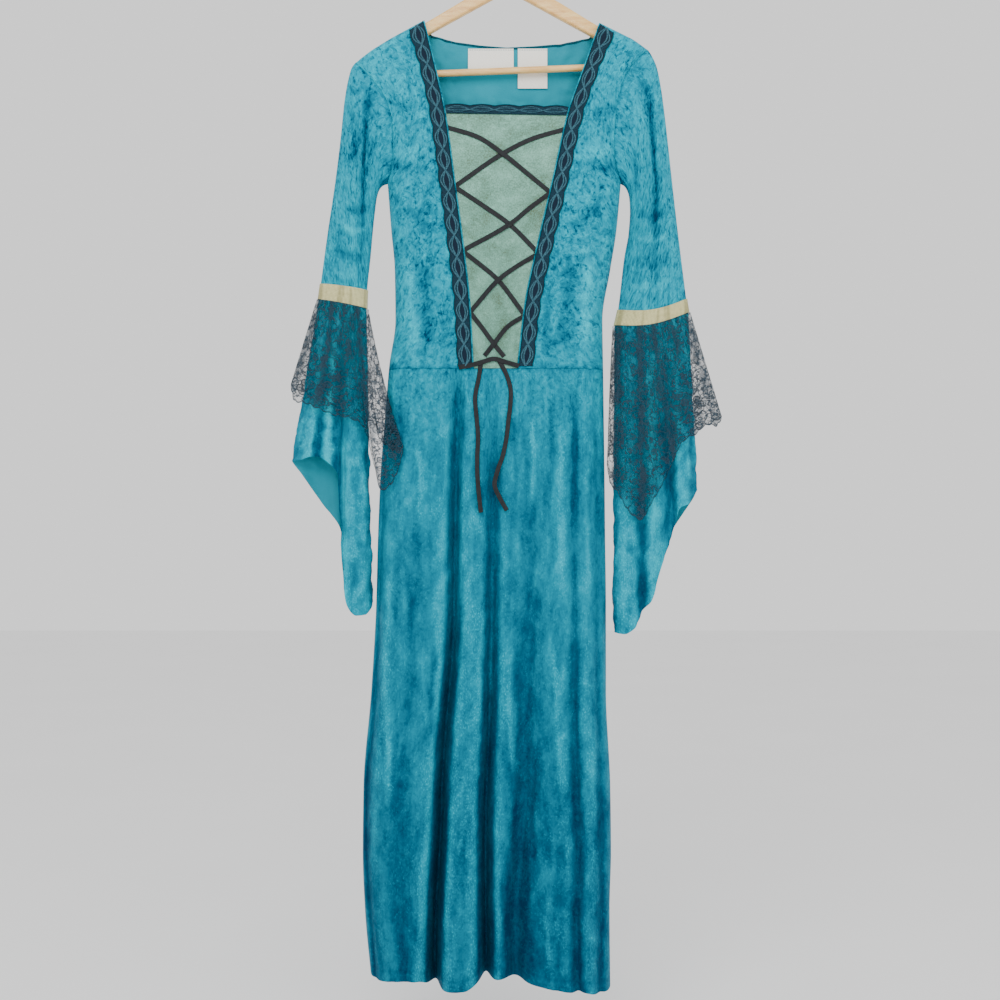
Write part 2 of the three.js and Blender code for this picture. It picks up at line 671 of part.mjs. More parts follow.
const neckPoint = (side, down) => {
  const top = side === "left" ? -136 : -140;
  const z = lerp(top, waistZ, down);
  return { x: read(neckline, "z", z, side), z };
};
const alongShoulder = (x) => straight(shoulderSeam, x);

// Fronts, back and insert of the bodice
function makeBodice() {
  const outerToNeck = [0, 0.012, 0.05, 0.12, 0.24, 0.42, 0.62, 0.82, 1];
  const neckToOuter = outerToNeck.map((share) => 1 - share).reverse();
  addPiece(
    "bodice_front_left",
    bodicePanel({
      face: "front",
      across: outerToNeck,
      startAt: (down) => bodiceEdge("left", down),
      endAt: (down) => neckPoint("left", down),
      topZ: alongShoulder,
      seams: [
        { column: -1, kind: "neck", side: "left" },
        { column: 0, kind: "side", side: "left" },
      ],
    }),
    "velvet",
  );
  addPiece(
    "bodice_front_right",
    bodicePanel({
      face: "front",
      across: neckToOuter,
      startAt: (down) => neckPoint("right", down),
      endAt: (down) => bodiceEdge("right", down),
      topZ: alongShoulder,
      seams: [
        { column: 0, kind: "neck", side: "right" },
        { column: -1, kind: "side", side: "right" },
      ],
    }),
    "velvet",
  );
  const tips = { left: armholes.left[0].x, right: armholes.right[0].x };
  const neckShare = (x) => (x - tips.left) / (tips.right - tips.left);
  const neckLeft = neckShare(backNeck[0].x);
  const neckRight = neckShare(backNeck[backNeck.length - 1].x);
  const backAcross = [
    ...[0, 0.02, 0.09, 0.25, 0.5, 0.75, 1].map((share) => share * neckLeft),
    ...[0.006, 0.03, 0.12, 0.3, 0.5, 0.7, 0.88, 0.97, 0.994, 1].map((share) => lerp(neckLeft, neckRight, share)),
    ...[0.3, 0.58, 0.8, 0.93, 0.985, 1].map((share) => lerp(neckRight, 1, share)),
  ];
  const insideNeck = (x) => x > backNeck[0].x && x < backNeck[backNeck.length - 1].x;
  addPiece(
    "bodice_back",
    bodicePanel({
      face: "back",
      across: backAcross,
      startAt: (down) => bodiceEdge("left", down),
      endAt: (down) => bodiceEdge("right", down),
      topZ: (x) => (insideNeck(x) ? straight(backNeck, x) : straight(shoulderSeam, x)),
      seams: [
        { column: 0, kind: "side", side: "left" },
        { column: -1, kind: "side", side: "right" },
      ],
    }),
    "velvet",
  );
  const insertRows = 9;
  const insertColumns = 6;
  const grid = [];
  for (let i = 0; i <= insertRows; i += 1) {
    const row = [];
    for (let j = 0; j <= insertColumns; j += 1) {
      const share = j / insertColumns;
      const z = lerp(lerp(insertTop.left, insertTop.right, share), waistZ + halfGap, i / insertRows);
      const left = read(neckline, "z", z, "left") + seamGap;
      const right = read(neckline, "z", z, "right") - seamGap;
      row.push(bodyPoint("front", lerp(left, right, share), z));
    }
    grid.push(row);
  }
  const flat = grid.map((row) => row.map(() => new THREE.Vector3(0, -1, 0)));
  addPiece("insert_panel", wallGeometry(grid, flat, velvet, false), "insert");
}

// Value of a fold's column at a height share from waist to hem, by a parabola through three
function throughThree(start, middle, end, share) {
  return start + (-3 * start + 4 * middle - end) * share + 2 * (start - 2 * middle + end) * share * share;
}

const skirtShare = (z) => clamp((waistZ - z) / 850, 0, 1);
const foldCentre = (fold, z) => throughThree(fold.waist, fold.middle, fold.hem, skirtShare(z));

// How far the folds draw the cloth in at a place on the skirt
function foldDepth(folds, x, z) {
  const share = skirtShare(z);
  const left = read(bodySides, "z", z, "left");
  const width = read(bodySides, "z", z, "right") - left;
  const fade = clamp((waistZ - z) / foldFadeIn, 0, 1);
  let drawn = 0;
  for (const fold of folds) {
    const centre = left + width * foldCentre(fold, z);
    const depth = Math.max(throughThree(fold.deepWaist, fold.deepMiddle, fold.deepHem, share), 0);
    const off = (x - centre) / fold.width;
    drawn += depth / (1 + off * off) ** 1.5;
  }
  return drawn * fade * fade * (3 - 2 * fade);
}

// Shares from 0 to 1, closer together at the edges and at given places
function crowdedShares(count, places, edgeWidth) {
  const samples = 800;
  const density = (at) => {
    let total = 1 + 7 * Math.exp(-at / edgeWidth) + 7 * Math.exp(-(1 - at) / edgeWidth);
    for (const place of places) total += place.weight / (1 + ((at - place.at) / place.reach) ** 2);
    return total;
  };
  const running = [0];
  for (let i = 1; i <= samples; i += 1) running.push(running[i - 1] + density((i - 0.5) / samples));
  const shares = [];
  let i = 0;
  for (let k = 0; k <= count; k += 1) {
    const goal = (running[samples] * k) / count;
    while (i < samples && running[i + 1] < goal) i += 1;
    const part = i < samples ? (goal - running[i]) / (running[i + 1] - running[i]) : 0;
    shares.push(clamp((i + part) / samples, 0, 1));
  }
  shares[0] = 0;
  shares[count] = 1;
  return shares;
}

function skirtPanel(face, folds, columns, rows) {
  const places = folds.map((fold) => ({
    at: fold.middle,
    weight: fold.deepMiddle > 8 ? 4 : 0.5,
    reach: 0.02,
  }));
  const across = crowdedShares(columns, places, 0.02);
  const grid = [];
  for (let i = 0; i <= rows; i += 1) {
    const down = (i / rows) ** 1.15;
    grid.push(
      across.map((share, j) => {
        const z = lerp(waistZ - halfGap, read(skirtHem, "share", share, face), down);
        const left = read(bodySides, "z", z, "left");
        const right = read(bodySides, "z", z, "right");
        const edge = j === 0 || j === across.length - 1;
        const x = lerp(left, right, edge ? share : followFolds(folds, share, z));
        const point = bodyPoint(face, x, z);
        const drawn = edge ? 0 : foldDepth(folds, x, z) * roundRise(Math.min(x - left, right - x) / 12);
        if (face === "front") point.y = Math.min(point.y + drawn, -halfGap);
        else point.y = Math.max(point.y - drawn, halfGap);
        return point;
      }),
    );
  }
  const outward = new THREE.Vector3(0, face === "front" ? -1 : 1, 0);
  const known = { row: 0, column: Math.floor(columns / 2), direction: outward };
  const normals = gridNormals(grid, false, known);
  for (const row of normals) {
    row[0].copy(armholeAxis.left);
    row[columns].copy(armholeAxis.right);
  }
  normals[0].forEach((normal) => normal.setZ(0).normalize());
  return wallGeometry(grid, normals, velvet, false);
}

// A column's share of the width at a height: columns keep to the folds from waist to hem
function followFolds(folds, share, z) {
  const places = folds.map((fold) => ({ at: fold.middle, to: foldCentre(fold, z) }));
  return read([{ at: 0, to: 0 }, ...places, { at: 1, to: 1 }], "at", share, "to");
}

// How far the middle of the elbow's braid hangs below the line between its ends
const elbowSag = { left: 0, right: 9 };
function sagAt(side, share, row) {
  const slack = Math.min(Math.max((-440 - row.outerZ) / 90, 0), 1);
  return elbowSag[side] * slack * Math.sin(Math.PI * share);
}

// Shares across the front and then the back of a tube's ring, starting at its outer edge
const tubeShares = armholeSteps;
function tubeRing(row, side, shiftX) {
  const start = sleeves[side][0];
  const place = (share, face) => {
    const x = lerp(row.outerX, row.innerX, share);
    const z = lerp(row.outerZ, row.innerZ, share) - sagAt(side, share, row);
    const seam = armholePoint(side, share);
    const bend = (seam.x - lerp(start.outerX, start.innerX, share)) * row.curve;
    const crease = ((share - row.crease) / 0.07) ** 2;
    const sink = face === "front" ? row.sink / (1 + crease) ** 1.5 : 0;
    const depth = row.deep * tubeRise(share) * (face === "back" ? backShare : 1) - sink * tubeRise(share);
    return new THREE.Vector3(x + bend + shiftX, face === "front" ? -depth : depth, z);
  };
  const front = tubeShares.map((share) => place(share, "front"));
  const back = tubeShares.slice(1, -1).map((share) => place(share, "back")).reverse();
  return [...front, ...back];
}

// The tube's direction at a ring, square to the line between its silhouette points
function ringAxis(row) {
  const across = new THREE.Vector3(row.innerX - row.outerX, 0, row.innerZ - row.outerZ).normalize();
  return new THREE.Vector3(across.z, 0, -across.x);
}

const outwardOf = { left: new THREE.Vector3(-1, 0, 0.2), right: new THREE.Vector3(1, 0, 0.2) };

function makeSleeve(side) {
  const rows = sleeves[side];
  const last = rows.length - 1;
  const outward = armholeAxis[side].x;
  const grid = rows.map((row, i) => tubeRing(row, side, i === 0 ? outward * halfGap : 0));
  grid[last].forEach((point) => (point.z += halfGap));
  const normals = gridNormals(grid, true, { row: 4, column: 0, direction: outwardOf[side] });
  const count = tubeShares.length;
  normals[0] = grid[0].map((point, j) => {
    const face = j < count ? "front" : "back";
    const share = j < count ? tubeShares[j] : tubeShares[2 * count - 2 - j];
    return armholeNormal(side, face, share);
  });
  normals[last] = ringNormals(grid[last], ringAxis(rows[last]), outwardOf[side]);
  addPiece(`sleeve_${side}`, wallGeometry(grid, normals, velvet, true), "velvet");

  const bandGrid = [rows[last - 1], rows[last]].map((row) => {
    const ring = tubeRing(row, side, 0);
    const ringOut = ringNormals(ring, ringAxis(row), outwardOf[side]);
    return ring.map((point, j) => point.addScaledVector(ringOut[j], seamGap + braid));
  });
  const bandNormals = [rows[last - 1], rows[last]].map((row, i) =>
    ringNormals(bandGrid[i], ringAxis(row), outwardOf[side]),
  );
  addPiece(`band_${side}`, wallGeometry(bandGrid, bandNormals, braid, true), "band");
}

// A point of the elbow's ring, once round from the outer edge, lifted off it
function elbowPoint(side, around, lift) {
  const row = sleeves[side][sleeves[side].length - 1];
  const base = (place) => {
    const turn = ((place % 1) + 1) % 1;
    const front = turn <= 0.5;
    const share = front ? turn * 2 : 2 - turn * 2;
    const depth = row.deep * tubeRise(share) * (front ? -1 : backShare);
    return new THREE.Vector3(
      lerp(row.outerX, row.innerX, share),
      depth,
      lerp(row.outerZ, row.innerZ, share) - sagAt(side, share, row),
    );
  };
  const step = 0.006;
  const along = base(around + step).sub(base(around - step));
  const out = along.cross(ringAxis(row)).normalize();
  return base(around).addScaledVector(out, -lift);
}

// Once-round places with one more between each two rows of a hem
function hemPlaces(hem, between) {
  const places = [];
  hem.forEach((row, i) => {
    const next = i + 1 < hem.length ? hem[i + 1].around : 1;
    for (let k = 0; k < between; k += 1) places.push(lerp(row.around, next, k / between));
  });
  return places;
}

// A flounce from the elbow's ring to its hem
function flounceGrid(side, hem, places, downs, lift) {
  const wrapped = [...hem, { ...hem[0], around: 1 }];
  return downs.map((down) =>
    places.map((around) => {
      const top = elbowPoint(side, around, lift);
      top.z -= halfGap;
      const at = (column) => read(wrapped, "around", around, column);
      const bow = 4 * down * (1 - down);
      const bowX = hem[0].bowX === undefined ? 0 : at("bowX") * bow;
      const bowY = hem[0].bowY === undefined ? 0 : at("bowY") * bow;
      return new THREE.Vector3(
        lerp(top.x, at("x"), down) + bowX,
        lerp(top.y, at("y"), down) + bowY,
        lerp(top.z, at("z"), down),
      );
    }),
  );
}

function makeBell(side) {
  const hem = bellHems[side];
  const places = hemPlaces(hem, 2);
  const downs = [0, 0.1, 0.28, 0.5, 0.75, 1];
  const grid = flounceGrid(side, hem, places, downs, 0);
  const normals = gridNormals(grid, true, { row: 3, column: 0, direction: outwardOf[side] });
  const elbow = sleeves[side][sleeves[side].length - 1];
  normals[0] = ringNormals(grid[0], ringAxis(elbow), outwardOf[side]);
  addPiece(`bell_${side}`, wallGeometry(grid, normals, bellCloth, true), "velvet");
}

// A straight six-sided cutter along a direction
function cutterAt(centre, direction, radius) {
  const length = 7;
  const circle = new THREE.CylinderGeometry(radius, radius, length, laceHoles.sides);
  const turn = new THREE.Quaternion().setFromUnitVectors(new THREE.Vector3(0, 1, 0), direction);
  return circle.applyQuaternion(turn).translate(centre.x, centre.y, centre.z);
}

function manifoldOf(geometry) {
  const bare = geometry.clone();
  bare.deleteAttribute("normal");
  bare.deleteAttribute("uv");
  const merged = mergeVertices(bare, 1e-4);
  const vertProperties = new Float32Array(merged.getAttribute("position").array);
  const triVerts = new Uint32Array(merged.index.array);
  return new wasm.Manifold(new wasm.Mesh({ numProp: 3, vertProperties, triVerts }));
}

function geometryOf(solid) {
  const mesh = solid.getMesh();
  const geometry = new THREE.BufferGeometry();
  geometry.setAttribute("position", new THREE.Float32BufferAttribute(mesh.vertProperties, 3));
  geometry.setIndex([...mesh.triVerts]);
  geometry.computeVertexNormals();
  return geometry;
}

function makeLace(side) {
  const hem = laceHems[side];
  const places = hemPlaces(hem, 1);
  const downs = [0, 0.2, 0.45, 0.72, 1];
  const grid = flounceGrid(side, hem, places, downs, laceStandoff + laceCloth);
  const normals = gridNormals(grid, true, { row: 3, column: 0, direction: outwardOf[side] });
  const elbow = sleeves[side][sleeves[side].length - 1];
  normals[0] = ringNormals(grid[0], ringAxis(elbow), outwardOf[side]);
  const split = places.indexOf(0.5);
  const halves = { front: [0, split], back: [split, places.length] };
  for (const [face, [first, end]] of Object.entries(halves)) {
    const columns = [];
    for (let j = first; j <= end; j += 1) columns.push(j % places.length);
    const half = grid.map((row) => columns.map((j) => row[j].clone()));
    const halfNormals = normals.map((row) => columns.map((j) => row[j]));
    for (const row of half) {
      const inward = (from, to) => new THREE.Vector3().subVectors(to, from).setLength(halfGap);
      const startStep = inward(row[0], row[1]);
      const endStep = inward(row[row.length - 1], row[row.length - 2]);
      row[0].add(startStep);
      row[row.length - 1].add(endStep);
    }
    let solid = manifoldOf(wallGeometry(half, halfNormals, laceCloth, false));
    const holes = laceHoles[face];
    for (let i = 0; i < holes.rows; i += 1)
      for (let j = 0; j < holes.columns; j += 1) {
        const stagger = i % 2 === 0 ? 0.3 : 0.7;
        const column = ((j + stagger) / holes.columns) * (half[0].length - 2) + 0.5;
        const left = Math.floor(column);
        const row = downs.length - 2 - i;
        const part = column - left;
        const centre = half[row][left].clone().lerp(half[row][left + 1], part);
        centre.lerp(half[row + 1][left].clone().lerp(half[row + 1][left + 1], part), 0.45);
        const cutter = cutterAt(centre, halfNormals[row][left], laceHoles.radius);
        solid = solid.subtract(manifoldOf(cutter));
      }
    addPiece(`lace_${side}_${face}`, geometryOf(solid), "lace");
  }
}

// A strip laid on the front: edge points on both sides of each station, lifted off the cloth
function layStrip(stations, thickness) {
  const grid = stations.map(({ a, b, lift }) => [
    liftedPoint("front", a.x, a.z, lift + thickness),
    liftedPoint("front", b.x, b.z, lift + thickness),
  ]);
  const normals = stations.map(({ a, b }) => [
    bodyNormal("front", a.x, a.z),
    bodyNormal("front", b.x, b.z),
  ]);
  return wallGeometry(grid, normals, thickness, false);
}

function makeTrims() {
  for (const side of ["left", "right"]) {
    const outward = side === "left" ? -1 : 1;
    const topZ = side === "left" ? -143 : -147;
    const bottomZ = waistZ + 3;
    const scallops = Math.round((topZ - bottomZ) / scallopPitch);
    const count = scallops * samplesPerScallop;
    const stations = [];
    for (let i = 0; i <= count; i += 1) {
      const z = lerp(topZ, bottomZ, i / count);
      const nearTop = Math.max(1 - i / (samplesPerScallop * 3), 0);
      const skew = trimSkew * nearTop;
      const wave = Math.abs(Math.sin((Math.PI * i) / samplesPerScallop));
      const inner = { x: read(neckline, "z", z, side) + outward * halfGap, z };
      const outer = { x: inner.x + outward * (trimWidth + scallopRise * wave), z: z - skew };
      stations.push({ a: inner, b: outer, lift: seamGap + trimShoulderLift * nearTop });
    }
    addPiece(`trim_${side}`, layStrip(stations, braid), "trim");
  }
  const count = insertTrim.scallops * samplesPerScallop;
  const stations = [];
  for (let i = 0; i <= count; i += 1) {
    const share = i / count;
    const lowZ = lerp(insertTrim.leftZ, insertTrim.rightZ, share);
    const highZ = lowZ + insertTrim.height;
    const place = (z) => {
      const left = read(neckline, "z", z, "left") + 2 * seamGap;
      return lerp(left, read(neckline, "z", z, "right") - 2 * seamGap, share);
    };
    const wave = Math.abs(Math.sin(Math.PI * share * insertTrim.scallops));
    const high = { x: place(highZ), z: highZ - insertTrim.rise * (1 - wave) };
    stations.push({ a: { x: place(lowZ), z: lowZ }, b: high, lift: seamGap });
  }
  addPiece("trim_insert", layStrip(stations, braid), "trim");
}

// Stations of a ribbon along a curve of places on the front
function ribbonStations(points, count, width, keepIn, liftAt) {
  const curve = new THREE.CatmullRomCurve3(points.map(([x, z]) => new THREE.Vector3(x, 0, z)));
  const stations = [];
  for (let i = 0; i <= count; i += 1) {
    const share = i / count;
    const at = curve.getPoint(share);
    const along = curve.getTangent(share);
    const side = new THREE.Vector3(-along.z, 0, along.x).multiplyScalar(width / 2);
    const ends = [-1, 1].map((turn) => {
      const z = at.z + turn * side.z;
      const low = read(neckline, "z", z, "left") + keepIn;
      const high = read(neckline, "z", z, "right") - keepIn;
      return { x: clamp(at.x + turn * side.x, low, high), z };
    });
    stations.push({ a: ends[0], b: ends[1], lift: liftAt(share) });
  }
  return stations;
}

const layer = ribbon + seamGap;

function makeLacing() {
  const steps = 9;
  for (const { name, from, by, over, to, lift } of lacing) {
    const crossing = 2 / 3;
    const liftAt = (share) => {
      const nearCross = lift[1] * clamp(1.6 - Math.abs(share - crossing) / 0.11, 0, 1);
      const nearStart = lift[0] * clamp(1.5 - share / 0.13, 0, 1);
      const nearEnd = lift[2] * clamp(1 - (1 - share) / 0.2, 0, 1);
      return seamGap + layer * Math.max(nearCross, nearStart, nearEnd);
    };
    const stations = ribbonStations([from, by, over, to], steps, ribbonWidth, 2 * seamGap, liftAt);
    addPiece(`lacing_${name}`, layStrip(stations, ribbon), "ribbon");
  }
  const path = waistRibbon.map(({ x, z }) => [x, z]);
  const waistLift = () => seamGap + braid + seamGap;
  const stations = ribbonStations(path, 10, ribbonWidth, -40, waistLift);
  addPiece("ribbon_waist", layStrip(stations, ribbon), "ribbon");
}

// A flat ribbon hanging free: an eight-sided section along its path on the skirt's front
function makeTail(side) {
  const points = tails[side].map(({ x, z }, i) => {
    const lift = lerp(0.1, tailLift, clamp((i - 0.7) / 2, 0, 1));
    return new THREE.Vector3(x, bodyPoint("front", x, z).y - lift - tailThickness / 2, z);
  });
  const curve = new THREE.CatmullRomCurve3(points);
  const w = ribbonWidth / 2;
  const t = tailThickness / 2;
  const section = new THREE.Shape([
    new THREE.Vector2(t, w * 0.75),
    new THREE.Vector2(t * 0.5, w),
    new THREE.Vector2(-t * 0.5, w),
    new THREE.Vector2(-t, w * 0.75),
    new THREE.Vector2(-t, -w * 0.75),
    new THREE.Vector2(-t * 0.5, -w),
    new THREE.Vector2(t * 0.5, -w),
    new THREE.Vector2(t, -w * 0.75),
  ]);
  const steps = Math.round(curve.getLength() / tailStep);
  const geometry = new THREE.ExtrudeGeometry(section, { steps, extrudePath: curve, bevelEnabled: false });
  addPiece(`ribbon_tail_${side}`, geometry, "ribbon");
}

function makeLabels() {
  for (const { name, left, right, top, bottom } of labels) {
    const grid = [];
    const rows = 3;
    const columns = 3;
    const sunk = velvet + seamGap;
    for (let i = 0; i <= rows; i += 1) {
      const row = [];
      for (let j = 0; j <= columns; j += 1) {
        const x = lerp(left, right, j / columns);
        const z = lerp(top, bottom, i / rows);
        row.push(bodyPoint("back", x, z).add(new THREE.Vector3(0, -sunk - labelCloth, 0)));
      }
      grid.push(row);
    }
    const normals = grid.map((row) => row.map(() => new THREE.Vector3(0, -1, 0)));
    addPiece(name, wallGeometry(grid, normals, labelCloth, false), "label");
  }
}

function makeHanger() {
  for (const [side, outline] of Object.entries(hangerArms)) {
    const shape = new THREE.Shape(outline.map(([x, z]) => new THREE.Vector2(x, z)));
    const arm = new THREE.ExtrudeGeometry(shape, {
      depth: armThickness - 2 * armBevel,
      bevelThickness: armBevel,
      bevelSize: armBevel,
      bevelOffset: -armBevel,
      bevelSegments: 1,
    });
    arm.rotateX(Math.PI / 2).translate(0, armThickness / 2 - armBevel, 0);
    addPiece(`hanger_arm_${side}`, arm, "wood");
  }
  const [leftX, leftZ] = barEnds.left;
  const [rightX, rightZ] = barEnds.right;
  const span = new THREE.Vector3(rightX - leftX, 0, rightZ - leftZ);
  const bar = new THREE.CylinderGeometry(barRadius, barRadius, span.length(), 14);
  const turn = new THREE.Quaternion().setFromUnitVectors(new THREE.Vector3(0, 1, 0), span.clone().normalize());
  bar.applyQuaternion(turn).translate((leftX + rightX) / 2, 0, (leftZ + rightZ) / 2);
  addPiece("hanger_bar", bar, "wood");

  const centreZ = hookWire - hookRadius - hookWire;
  const bend = hookRadius + hookWire;
  const points = [new THREE.Vector3(hookStem.x, 0, hookStem.z)];
  points.push(new THREE.Vector3(hookStem.x, 0, hookStem.z + 10));
  points.push(new THREE.Vector3(hookStem.x - 2, 0, hookStem.z + 21));
  const firstAngle = 212;
  const lastAngle = -22;
  const turns = 9;
  for (let k = 0; k <= turns; k += 1) {
    const angle = THREE.MathUtils.degToRad(lerp(firstAngle, lastAngle, k / turns));
    points.push(new THREE.Vector3(bend * Math.cos(angle), 0, centreZ + bend * Math.sin(angle)));
  }
  const sides = 8;
  const corners = [];
  for (let k = 0; k < sides; k += 1) {
    const angle = (2 * Math.PI * k) / sides;
    corners.push(new THREE.Vector2(hookWire * Math.cos(angle), hookWire * Math.sin(angle)));
  }
  const hook = new THREE.ExtrudeGeometry(new THREE.Shape(corners), {
    steps: 24,
    extrudePath: new THREE.CatmullRomCurve3(points),
    bevelEnabled: false,
  });
  addPiece("hanger_hook", hook, "steel");
}

makeBodice();
addPiece("skirt_front", skirtPanel("front", skirtFrontFolds, 44, 12), "velvet");
addPiece("skirt_back", skirtPanel("back", skirtBackFolds, 26, 10), "velvet");
for (const side of ["left", "right"]) {
  makeSleeve(side);
  makeBell(side);
  makeLace(side);
  makeTail(side);
}
makeTrims();
makeLacing();
makeLabels();
makeHanger();

export default gown;
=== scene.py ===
# A medieval style velvet gown on a wooden hanger. Sizes below are millimetres, in the frame of the
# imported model: +Z up, the gown's front faces -Y, left and right as seen from the front. What can
# be changed stands in the dictionary beside each piece.
import math

import bmesh
import bpy
import numpy as np
from mathutils import Matrix, Vector


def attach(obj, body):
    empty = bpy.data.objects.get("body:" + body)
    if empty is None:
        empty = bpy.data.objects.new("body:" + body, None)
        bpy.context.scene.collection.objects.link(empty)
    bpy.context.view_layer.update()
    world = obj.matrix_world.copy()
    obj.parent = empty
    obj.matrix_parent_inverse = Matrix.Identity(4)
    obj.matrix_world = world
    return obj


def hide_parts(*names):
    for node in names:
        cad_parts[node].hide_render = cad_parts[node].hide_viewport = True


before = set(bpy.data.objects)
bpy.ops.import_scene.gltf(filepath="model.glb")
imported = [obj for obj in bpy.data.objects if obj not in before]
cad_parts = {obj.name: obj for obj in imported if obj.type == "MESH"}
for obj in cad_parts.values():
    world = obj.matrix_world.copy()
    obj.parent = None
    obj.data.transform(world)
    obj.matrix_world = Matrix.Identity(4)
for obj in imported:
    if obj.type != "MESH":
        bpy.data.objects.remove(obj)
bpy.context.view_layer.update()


def table(columns, *rows):  # a short table as one array for each named column
    names = columns.split()
    return {name: np.array([row[k] for row in rows], float) for k, name in enumerate(names)}


def read(rows, key, at, name):  # smooth reading between a table's rows, with no overshoot
    keys, values = rows[key], rows[name]
    if keys[0] > keys[-1]:
        keys, values = keys[::-1], values[::-1]
    slope = np.diff(values) / np.diff(keys)
    product = slope[:-1] * slope[1:]
    total = slope[:-1] + slope[1:]
    inner = np.where(product > 0, 2 * product / np.where(total == 0, 1, total), 0)
    tangent = np.concatenate([slope[:1], inner, slope[-1:]])
    at = np.clip(at, keys[0], keys[-1])
    i = np.clip(np.searchsorted(keys, at, side="right") - 1, 0, len(keys) - 2)
    span = keys[i + 1] - keys[i]
    t = (at - keys[i]) / span
    eased = t * t * (3 - 2 * t)
    bend = t * (1 - t) * span * (tangent[i] * (1 - t) - tangent[i + 1] * t)
    return values[i] + (values[i + 1] - values[i]) * eased + bend


def lerp(a, b, t):
    return a + (b - a) * t


def smooth(t):
    t = np.clip(t, 0, 1)
    return t * t * (3 - 2 * t)


def roundRise(share):
    left = 1 - np.clip(share, 0, 1)
    return np.sqrt(1 - left * left)


def paint(red, green, blue):  # screen colour to the shader's linear colour
    def linear(value):
        value /= 255
        return value / 12.92 if value <= 0.04045 else ((value + 0.055) / 1.055) ** 2.4

    return (linear(red), linear(green), linear(blue), 1.0)


# The photograph's camera
view = {"place": (-8.5, -1800.0, -816.5), "frameHigh": 1420.0, "away": 1800.0}

camera = bpy.data.objects.new("photoCamera", bpy.data.cameras.new("photoCamera"))
camera.data.sensor_width = 36
camera.data.lens = 36 * view["away"] / view["frameHigh"]
camera.location = [c / 1000 for c in view["place"]]
camera.rotation_euler = (math.radians(90), 0, 0)
bpy.context.collection.objects.link(camera)
bpy.context.scene.camera = camera


# Shader building: sums on sockets are written as plain Python
class Wire:
    def __init__(self, finish, socket):
        self.finish = finish
        self.socket = socket

    def math(self, operation, *others, clamp=False):
        settings = {"operation": operation, "use_clamp": clamp}
        return self.finish.node("ShaderNodeMath", settings, dict(enumerate((self, *others))))

    def __add__(self, other):
        return self.math("ADD", other)

    def __sub__(self, other):
        return self.math("SUBTRACT", other)

    def __mul__(self, other):
        return self.math("MULTIPLY", other)

    def __rsub__(self, other):
        settings = {"operation": "SUBTRACT"}
        return self.finish.node("ShaderNodeMath", settings, {0: other, 1: self})

    __radd__ = __add__
    __rmul__ = __mul__

    def band(self, low, high):  # 0 below low, 1 above high, smooth between
        settings = {"interpolation_type": "SMOOTHSTEP"}
        sockets = {"Value": self, "From Min": low, "From Max": high}
        return self.finish.node("ShaderNodeMapRange", settings, sockets)


class Finish:
    def __init__(self, name):
        self.material = bpy.data.materials.new(name)
        self.material.use_nodes = True
        self.tree = self.material.node_tree
        self.tree.nodes.clear()

    def node(self, kind, settings=None, sockets=None, output=0):
        made = self.tree.nodes.new(kind)
        for key, value in (settings or {}).items():
            if key == "stops":
                ramp = made.color_ramp
                while len(ramp.elements) < len(value):
                    ramp.elements.new(0.5)
                for element, (place, colour) in zip(ramp.elements, value):
                    element.position = place
                    element.color = colour
            else:
                setattr(made, key, value)
        for key, value in (sockets or {}).items():
            if isinstance(value, Wire):
                self.tree.links.new(value.socket, made.inputs[key])
            elif value is not None:
                made.inputs[key].default_value = value
        return Wire(self, made.outputs[output])

    def cut(self, stretch=(1, 1, 1), turn=0.0):  # the cloth's own flat coordinates, in metres
        place = self.node("ShaderNodeUVMap", {"uv_map": "cut"})
        sockets = {"Vector": place, "Scale": stretch, "Rotation": (0, 0, turn)}
        return self.node("ShaderNodeMapping", None, sockets)

    def place(self):
        return self.node("ShaderNodeTexCoord", None, None, "Object")

    def split(self, vector, axis):
        return self.node("ShaderNodeSeparateXYZ", None, {"Vector": vector}, axis)

    def noise(self, at, scale, detail=2.0, roughness=0.5, kind="FBM", output="Fac"):
        sockets = {"Vector": at, "Scale": scale, "Detail": detail, "Roughness": roughness}
        return self.node("ShaderNodeTexNoise", {"noise_type": kind}, sockets, output)

    def warped(self, at, scale, reach):  # coordinates pushed about by a soft noise
        push = self.noise(at, scale, 2.0, output="Color")
        centred = self.node(
            "ShaderNodeVectorMath", {"operation": "SUBTRACT"}, {0: push, 1: (0.5, 0.5, 0.5)}
        )
        sockets = {0: centred, 1: (reach, reach, reach), 2: at}
        return self.node("ShaderNodeVectorMath", {"operation": "MULTIPLY_ADD"}, sockets)

    def ramp(self, value, *stops):
        return self.node("ShaderNodeValToRGB", {"stops": stops}, {"Fac": value}, "Color")

    def mix(self, share, one, other, how="MIX"):
        settings = {"data_type": "RGBA", "blend_type": how}
        return self.node("ShaderNodeMix", settings, {0: share, 6: one, 7: other}, 2)

    def attribute(self, name):
        return self.node("ShaderNodeAttribute", {"attribute_name": name}, None, "Fac")

    def bump(self, height, distance, strength=1.0):
        sockets = {"Height": height, "Distance": distance, "Strength": strength}
        return self.node("ShaderNodeBump", None, sockets, "Normal")

    def finish(self, **sockets):
        named = {key.replace("_", " "): value for key, value in sockets.items()}
        shader = self.node("ShaderNodeBsdfPrincipled", None, named)
        output = self.tree.nodes.new("ShaderNodeOutputMaterial")
        self.tree.links.new(shader.socket, output.inputs["Surface"])
        return self.material


# Velvet: crushed pile lies in patches that shine or sink. Painted highlight makes it brighter on ridges,
# painted shade makes it darker in folds and down the skirt; "fold" is how far each point stands out from
# the smooth form
velvet = {
    "navy": paint(0, 46, 76),
    "deep": paint(0, 80, 106),
    "mid": paint(0, 118, 142),
    "light": paint(0, 150, 173),
    "bright": paint(0, 192, 210),
    "cloud": 7.0,
    "streaks": 42.0,
    "mottle": 72.0,
    "ridges": 74.0,
    "patches": 180.0,
    "cracks": 66.0,
    "fibre": 560.0,
}


